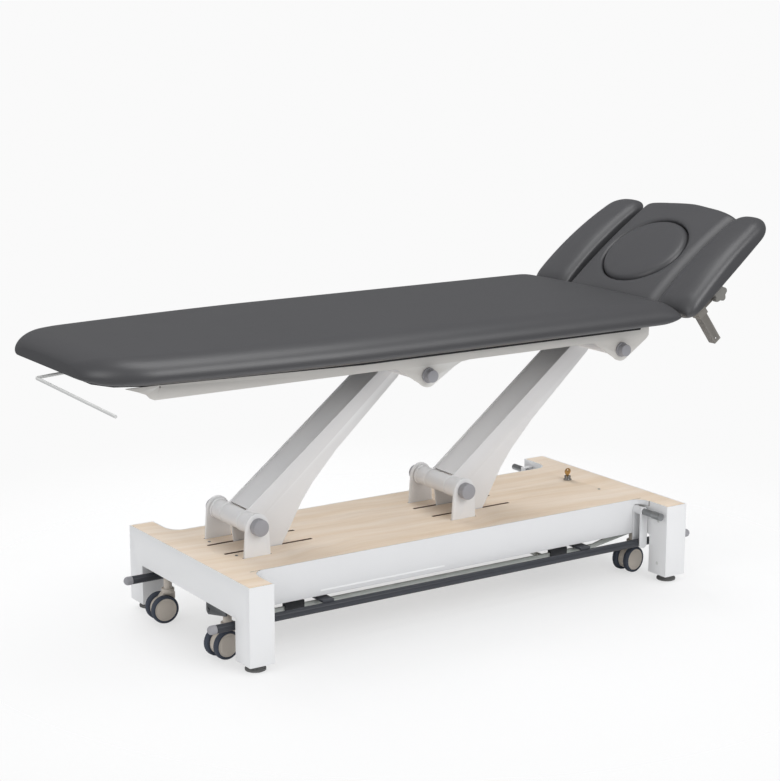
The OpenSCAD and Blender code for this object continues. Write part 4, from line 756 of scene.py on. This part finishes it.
def knob_mesh(at):
    """The knob on its stud, at a matrix."""
    layers = [(0.93, 0.0004), (1.0, 0.0030), (1.0, 0.0125), (0.985, 0.0150), (0.93, 0.0170),
              (0.80, 0.0178), (0.46, 0.0172), (0.40, 0.0176), (0.30, 0.0178)]
    points, faces = [], []
    for scale, h in layers:
        for i, r in enumerate(lobed(scale)):
            a = 2 * math.pi * i / KNOB_COUNT
            points.append(Vector((r * math.cos(a), r * math.sin(a), h)))
    count = KNOB_COUNT
    for k in range(len(layers) - 1):
        for i in range(count):
            j = (i + 1) % count
            a, b = k * count, (k + 1) * count
            faces.append((a + i, a + j, b + j, b + i))
    points += [Vector((0, 0, layers[0][1])), Vector((0, 0, layers[-1][1] + 0.0001))]
    top = (len(layers) - 1) * count
    for i in range(count):
        j = (i + 1) % count
        faces.append((j, i, len(points) - 2))
        faces.append((top + i, top + j, len(points) - 1))
    stud = turned([(0, 0.001), (0.004, 0.001), (0.004, -0.034), (0, -0.034)], 24)
    return placed([(points, faces, at), (*stud, at)])


HEAD_TILT = 36.5
head_angle = math.radians(HEAD_TILT)
along = Vector((math.cos(head_angle), 0, math.sin(head_angle)))
outward = Vector((-math.sin(head_angle), 0, math.cos(head_angle)))
hinge = Vector((0.696, 0, 0.720168))


def head_point(x, y, z):
    """A point given along, across and out from the head section, in metres."""
    return hinge + along * x + Vector((0, y, 0)) + outward * z


KNOB_ALONG, KNOB_FACE, KNOB_OUT, KNOB_TURN = 0.150, 0.289, -0.0045, 0.4
for name, side in (("near", -1), ("far", 1)):
    spot = head_point(KNOB_ALONG, side * KNOB_FACE, KNOB_OUT)
    at = facing(spot, (0, side, 0)) @ Matrix.Rotation(KNOB_TURN, 4, "Z")
    show(knob_mesh(at), name + "_clamp_knob", knob_grey, name + "_knob",
         (name + "_knob",))
print("knobs", 2, "with", LOBES, "lobes")

# %% [markdown]
# ## The white line on the skirt
# A plain white stripe is printed on the near skirt. It is a very thin strip that
# lies on the sheet, so that it stays crisp from close by.

# %% Stripe
stripe_y, stripe_deep = -0.21425, 0.0004
stripe = bpy.data.meshes.new("stripe")
s0, s1, z0, z1 = -0.430, -0.046, 0.1385, 0.1425
corners = [(s0, z0), (s1, z0), (s1, z1), (s0, z1)]
front = [(x, stripe_y, z) for x, z in corners]
rear = [(x, stripe_y + stripe_deep, z) for x, z in corners]
stripe.from_pydata(front + rear, [], [(0, 1, 2, 3), (7, 6, 5, 4), (0, 4, 5, 1), (1, 5, 6, 2),
                                      (2, 6, 7, 3), (3, 7, 4, 0)])
show(stripe, "skirt_line", white_line, "base")
print("stripe", round(s1 - s0, 3), "m long")

# %% [markdown]
# ## Cushions
# Every cushion is foam on a board under one tight cover. Across, it has a flat
# bottom, a full rounded side and a slightly crowned top. An armrest is round all
# the way over, so it takes one even curve there. The sides draw in at the
# ends. A row of such sections gives the blank, whose net already runs along the pad
# and round it, as a cover's weave does. It is then blown up a little as cloth, with
# its bottom held, so that the cover stretches as it does over foam.


# %% Sections of a cushion
def swell(e, r):
    """A quarter circle: 0 at an end, 1 from the distance r on."""
    return 1.0 if e >= r else math.sqrt(max(0.0, 1 - (1 - e / r) ** 2))


def half_section(w, z0, z1, crown, belly_share, low_w, roll_w):
    """Half of a pad's section, from the middle of its bottom round to the top.

    w is the half width, z0 and z1 the bottom and top, low_w and roll_w the widths of
    the lower and upper rolls. Without a roll width the top is one even curve."""
    belly = z0 + belly_share * (z1 - z0)
    low, roll = min(low_w, 0.45 * w), min(roll_w or 0, 0.8 * w)
    line = [(w - low) * k / 8 for k in range(8)]
    points = [(y, z0) for y in line]
    points += [(w - low + low * math.sin(a), belly - (belly - z0) * math.cos(a))
               for a in [math.pi / 2 * k / 9 for k in range(9)]]
    if roll_w is None:
        tall = z1 + crown - belly
        return points + [(w * math.cos(a) ** 0.8, belly + tall * math.sin(a) ** 0.8)
                         for a in [math.pi / 2 * k / 30 for k in range(31)]]
    points += [(w - roll + roll * math.cos(a), belly + (z1 - belly) * math.sin(a))
               for a in [math.pi / 2 * k / 18 for k in range(18)]]
    points += [((w - roll) * (1 - k / 12), z1 + crown * (1 - (1 - k / 12) ** 2))
               for k in range(13)]
    return points


def blank(stations):
    """The closed skin through stations of (x, y centre, section values)."""
    points, faces = [], []
    for x, yc, values in stations:
        half = half_section(*values)
        ring = [(x, yc + y, z) for y, z in half] + [(x, yc - y, z) for y, z in half[-2:0:-1]]
        points += ring
    count = len(ring)
    for k in range(len(stations) - 1):
        for i in range(count):
            j = (i + 1) % count
            a, b = k * count, (k + 1) * count
            faces.append((a + i, b + i, b + j, a + j))
    for k in (0, len(stations) - 1):
        ring = points[k * count:(k + 1) * count]
        points.append(tuple(sum(p[c] for p in ring) / count for c in range(3)))
        for i in range(count):
            j = (i + 1) % count
            tri = (k * count + i, k * count + j, len(points) - 1)
            faces.append(tri if k == 0 else tri[::-1])
    mesh = bpy.data.meshes.new("blank")
    mesh.from_pydata([(p[0] / 1000, p[1] / 1000, p[2] / 1000) for p in points], [], faces)
    return mesh


def shares(n, ends):
    """Shares from 0 to 1 that crowd together at both ends."""
    out = []
    for i in range(n + 1):
        t = 2 * i / n - 1
        out.append(0.5 + 0.5 * (1 - (1 - abs(t)) ** ends) * (1 if t > 0 else -1))
    return out


# %% [markdown]
# ## Covers as cloth
# The cover of a pad is a tight cloth over foam. Blender's cloth, pressed from inside,
# pulls it smooth as a real one. Left alone it would swell like a balloon, so only its
# outward move is kept, up to a cap, and is evened out over the neighbours.


# %% Stretch the cover
EVEN_PASSES = 14


def points(mesh, what):
    """The positions or the normals of a mesh's points, as an array."""
    values = np.empty(3 * len(mesh.vertices), np.float32)
    mesh.vertices.foreach_get(what, values)
    return values.reshape(-1, 3).astype(float)


def evened(mesh, values, passes):
    """One value a point, averaged with its neighbours again and again."""
    ends = np.empty(2 * len(mesh.edges), np.int32)
    mesh.edges.foreach_get("vertices", ends)
    a, b = ends[0::2], ends[1::2]
    count = np.bincount(ends, minlength=len(values))
    for _ in range(passes):
        size = len(values)
        total = np.bincount(a, values[b], size) + np.bincount(b, values[a], size)
        values = 0.5 * values + 0.5 * total / np.maximum(count, 1)
    return values


def stuffed(mesh, cap, held, voxel=0, pressure=4.0, frames=20, passes=4):
    """A cloth blown up by at most cap, after a smoothing of the blank.

    The test held tells which points stay on the board. A voxel size first gives even
    squares."""
    thing = bpy.data.objects.new("pad", mesh)
    bpy.context.scene.collection.objects.link(thing)
    if voxel:
        squares = thing.modifiers.new("squares", "REMESH")
        squares.mode = "VOXEL"
        squares.voxel_size = voxel
    even = thing.modifiers.new("even", "SMOOTH")
    even.iterations = passes
    even.factor = 0.5
    thing.data = applied(thing)
    thing.modifiers.clear()
    rest, outward = points(thing.data, "co"), points(thing.data, "normal")
    group = thing.vertex_groups.new(name="held")
    group.add([v.index for v in thing.data.vertices if held(v.co)], 1.0, "REPLACE")
    cloth = thing.modifiers.new("cover", "CLOTH")
    s = cloth.settings
    s.quality = 4
    s.mass = 0.3
    s.tension_stiffness = s.compression_stiffness = 40
    s.bending_stiffness = 3
    s.use_pressure = True
    s.uniform_pressure_force = pressure
    s.effector_weights.gravity = 0
    s.vertex_group_mass = "held"
    cloth.collision_settings.use_self_collision = False
    cloth.point_cache.frame_start, cloth.point_cache.frame_end = 1, frames
    for f in range(1, frames + 1):
        bpy.context.scene.frame_set(f)
    blown = applied(thing)
    rise = ((points(blown, "co") - rest) * outward).sum(axis=1)
    rise = evened(blown, np.clip(rise, 0.0, cap), EVEN_PASSES)
    blown.vertices.foreach_set("co", (rest + outward * rise[:, None]).ravel())
    thing.modifiers.clear()
    thing.data = blown
    bpy.context.scene.frame_set(1)
    fine = thing.modifiers.new("fine", "SUBSURF")
    fine.levels = fine.render_levels = 1
    final = applied(thing)
    bpy.data.objects.remove(thing)
    smooth(final, 180)
    return final


# %% [markdown]
# ## The main cushion
# It is widest at the middle and the head end, and tapers to a rounded foot end. A
# box with a bevel would have the same roll everywhere, while sections can thin out
# toward both ends. The lengths of the pads are in millimetres.

# %% Main cushion
foot_x, head_x, taper_x = 1066.0, 651.0, 345.0
half_w, narrower = 348, 63
board_top = 742.1676
pad_low, pad_h, pad_crown, belly = board_top + 0.6, 64.6, 3.0, 0.28
END_GAP = 1.5


def main_station(x):
    """The section of the main pad at x."""
    from_foot, from_head = x + foot_x, head_x - x
    taper = half_w - narrower * max(0.0, (-taper_x - x) / (foot_x - taper_x)) ** 1.6
    w = taper - 118 * (1 - swell(from_foot, 156)) - 9 * (1 - swell(from_head, 40))
    s = min(0.30 + 0.70 * swell(from_foot, 92), 0.20 + 0.80 * swell(from_head, 80))
    mid = pad_low + belly * pad_h
    return (x, 0, (w - 1.2, mid - (mid - pad_low) * s, mid + (1 - belly) * pad_h * s - 0.8,
                   pad_crown * s, belly, 17, 74))


main_length = foot_x + head_x - 2 * END_GAP
main_blank = blank([main_station(-foot_x + END_GAP + k * main_length)
                    for k in shares(150, 2.0)])
main_mesh = stuffed(main_blank, 0.0016, lambda p: p.z < (board_top + 4) / 1000)
main_pad = show(main_mesh, "main_pad", hide, "top_frame", ("main_cushion",))
print("main pad", len(main_mesh.vertices), "points")

# %% [markdown]
# ## The head cushions
# The centre cushion has an oval opening for the face, closed by a plug. Its skin is
# made as the others are, and the opening is then cut through it. The rim of the
# opening is pulled down and in, as the cover is where it is sewn to its lining.
# An armrest cushion is a narrow, full roll on each side.

# %% Head cushion values
HEAD_LOW, HEAD_LEN, ARM_LEN, PAD_Z = -10.0, 428.0, 398.0, 23.0
FULL, BOW, ARM_BOW, CROWN = 45.0, 12.0, 21.0, 8.0
FACE_X, FACE_A, FACE_B = 188.5, 128.0, 143.0
LINING = 1.2


def bow(k):
    """The rise along a pad: nothing at both ends, 1 in the middle."""
    return 1 - (2 * k - 1) ** 2


def head_swell(e, h, r=44, flat=0.26):
    """How thick a pad is at the distances e and h from its two ends."""
    return flat + (1 - flat) * swell(min(e, h), r)


def into_head(mesh):
    """Moves a mesh from the head section's own directions to its place."""
    for v in mesh.vertices:
        p = v.co.copy()
        v.co = head_point(p.x, p.y, p.z)
    return mesh


# %% Centre head cushion
def centre_station(k):
    """The section of the centre pad at the share k of its length."""
    e = k * HEAD_LEN
    h = HEAD_LEN - e
    s = head_swell(e, h)
    mid = PAD_Z + 0.6 + 0.38 * FULL
    top_round = math.sqrt(max(0.03, h / 30)) if h < 30 else 1
    w = 199 * top_round - 14 * (1 - swell(e, 30)) - 1
    return (HEAD_LOW + e, 0, (w, mid - 0.38 * FULL * s, mid + 0.62 * FULL * s + BOW * bow(k) - 1.0,
                              CROWN * s, 0.38, 16, 46))


def cut_opening(mesh):
    """Opens the face hole: the skin is cut by an oval column, whose wall is the lining."""
    ring = 72
    angles = [2 * math.pi * i / ring for i in range(ring)]
    pts = [Vector(((FACE_X + (FACE_A + LINING) * math.cos(a)) / 1000,
                   (FACE_B + LINING) * math.sin(a) / 1000, z))
           for z in (0.010, 0.110) for a in angles]
    fcs = [(i, (i + 1) % ring, ring + (i + 1) % ring, ring + i) for i in range(ring)]
    fcs += [tuple(range(ring - 1, -1, -1)), tuple(range(ring, 2 * ring))]
    tool_mesh = bpy.data.meshes.new("column")
    tool_mesh.from_pydata([tuple(p) for p in pts], [], fcs)
    tool = bpy.data.objects.new("column", tool_mesh)
    thing = bpy.data.objects.new("skin", mesh)
    for o in (tool, thing):
        bpy.context.scene.collection.objects.link(o)
    cutter = thing.modifiers.new("open", "BOOLEAN")
    cutter.operation = "DIFFERENCE"
    cutter.object = tool
    cutter.solver = "EXACT"
    final = applied(thing)
    bpy.data.objects.remove(thing)
    bpy.data.objects.remove(tool)
    return final


def settle_rim(mesh, reach=16.0, drop=7.0):
    """Rounds the cover down into the opening."""
    for v in mesh.vertices:
        x, y = v.co.x * 1000 - FACE_X, v.co.y * 1000
        out = math.hypot(x / (FACE_A + LINING), y / (FACE_B + LINING))
        away = (out - 1) * min(FACE_A, FACE_B)
        if v.co.z > 0.048 and -0.5 < away < reach:
            near_rim = 1 - max(0, away) / reach
            v.co.z -= drop / 1000 * (1 - math.sqrt(max(0, 1 - near_rim ** 2)))
    return mesh


centre_blank = blank([centre_station(k) for k in shares(60, 1.8)])
centre_mesh = stuffed(centre_blank, 0.0025, lambda p: p.z < 0.026)
centre_mesh = settle_rim(cut_opening(centre_mesh))
smooth(centre_mesh, 50)
centre_pad = show(into_head(centre_mesh), "head_pad", hide, "head_section",
                  ("head_cushion",))
print("head pad", len(centre_mesh.vertices), "points")


# %% [markdown]
# ## The face plug
# The plug is a thick oval pad with a soft upper edge that fills the opening. Stacked
# ovals give its form, and even squares from a remesh let the cloth round its edge.


# %% Face plug
def plug_mesh():
    """The blank of the plug: ovals of (scale, height), closed at both ends."""
    count = 72
    layers = [(0.90, 8.4), (0.965, 9.4), (0.985, 14), (0.99, 50), (0.985, 66), (0.972, 73),
              (0.945, 78.5), (0.90, 82.0), (0.83, 83.6), (0.70, 84.4), (0.50, 85.0), (0.25, 85.3)]
    points, faces = [], []
    angles = [2 * math.pi * i / count for i in range(count)]
    for scale, z in layers:
        points += [((FACE_X + FACE_A * scale * math.cos(a)) / 1000,
                    FACE_B * scale * math.sin(a) / 1000, z / 1000) for a in angles]
    for k in range(len(layers) - 1):
        for i in range(count):
            j = (i + 1) % count
            a, b = k * count, (k + 1) * count
            faces.append((a + i, a + j, b + j, b + i))
    points += [(FACE_X / 1000, 0, layers[0][1] / 1000), (FACE_X / 1000, 0, 0.0854)]
    top = (len(layers) - 1) * count
    for i in range(count):
        j = (i + 1) % count
        faces.append((j, i, len(points) - 2))
        faces.append((top + i, top + j, len(points) - 1))
    mesh = bpy.data.meshes.new("plug")
    mesh.from_pydata(points, [], faces)
    return mesh


plug = stuffed(plug_mesh(), 0.0012, lambda p: p.z < 0.060, voxel=0.0045, pressure=3)
plug_pad = show(into_head(plug), "face_plug_pad", hide, "face_plug",
                ("face_plug",))
print("plug", len(plug.vertices), "points")

# %% [markdown]
# ## The armrests
# An armrest is a narrow roll beside the centre pad, thinner at its ends and a little
# bowed along its length. The same sections serve for both, mirrored by their side.


# %% Armrests
def arm_station(k, side):
    """The section of an armrest at the share k of its length."""
    e = k * ARM_LEN
    h = ARM_LEN - e
    s = head_swell(e, h, 54, 0.16)
    low, tip = 1 - swell(e, 40), 1 - swell(h, 56)
    outer = 354 - 30 * k ** 2 - 22 * low - 50 * tip - 1
    inner = 203 + 10 * low + 30 * tip + 1
    mid = PAD_Z + 0.6 + 0.52 * FULL
    top = mid + 0.48 * FULL * s + ARM_BOW * bow(k) - 1.0
    return (e, side * (outer + inner) / 2,
            ((outer - inner) / 2, mid - 0.52 * FULL * s, top, CROWN * s, 0.52, 34, None))


for name, side in (("near", -1), ("far", 1)):
    arm_blank = blank([arm_station(k, side) for k in shares(60, 1.8)])
    arm_mesh = stuffed(arm_blank, 0.0025, lambda p: p.z < 0.026)
    pad = show(into_head(arm_mesh), name + "_arm_pad", hide, name + "_armrest",
               (name + "_armrest",))
    print(name, "armrest", len(arm_mesh.vertices), "points")
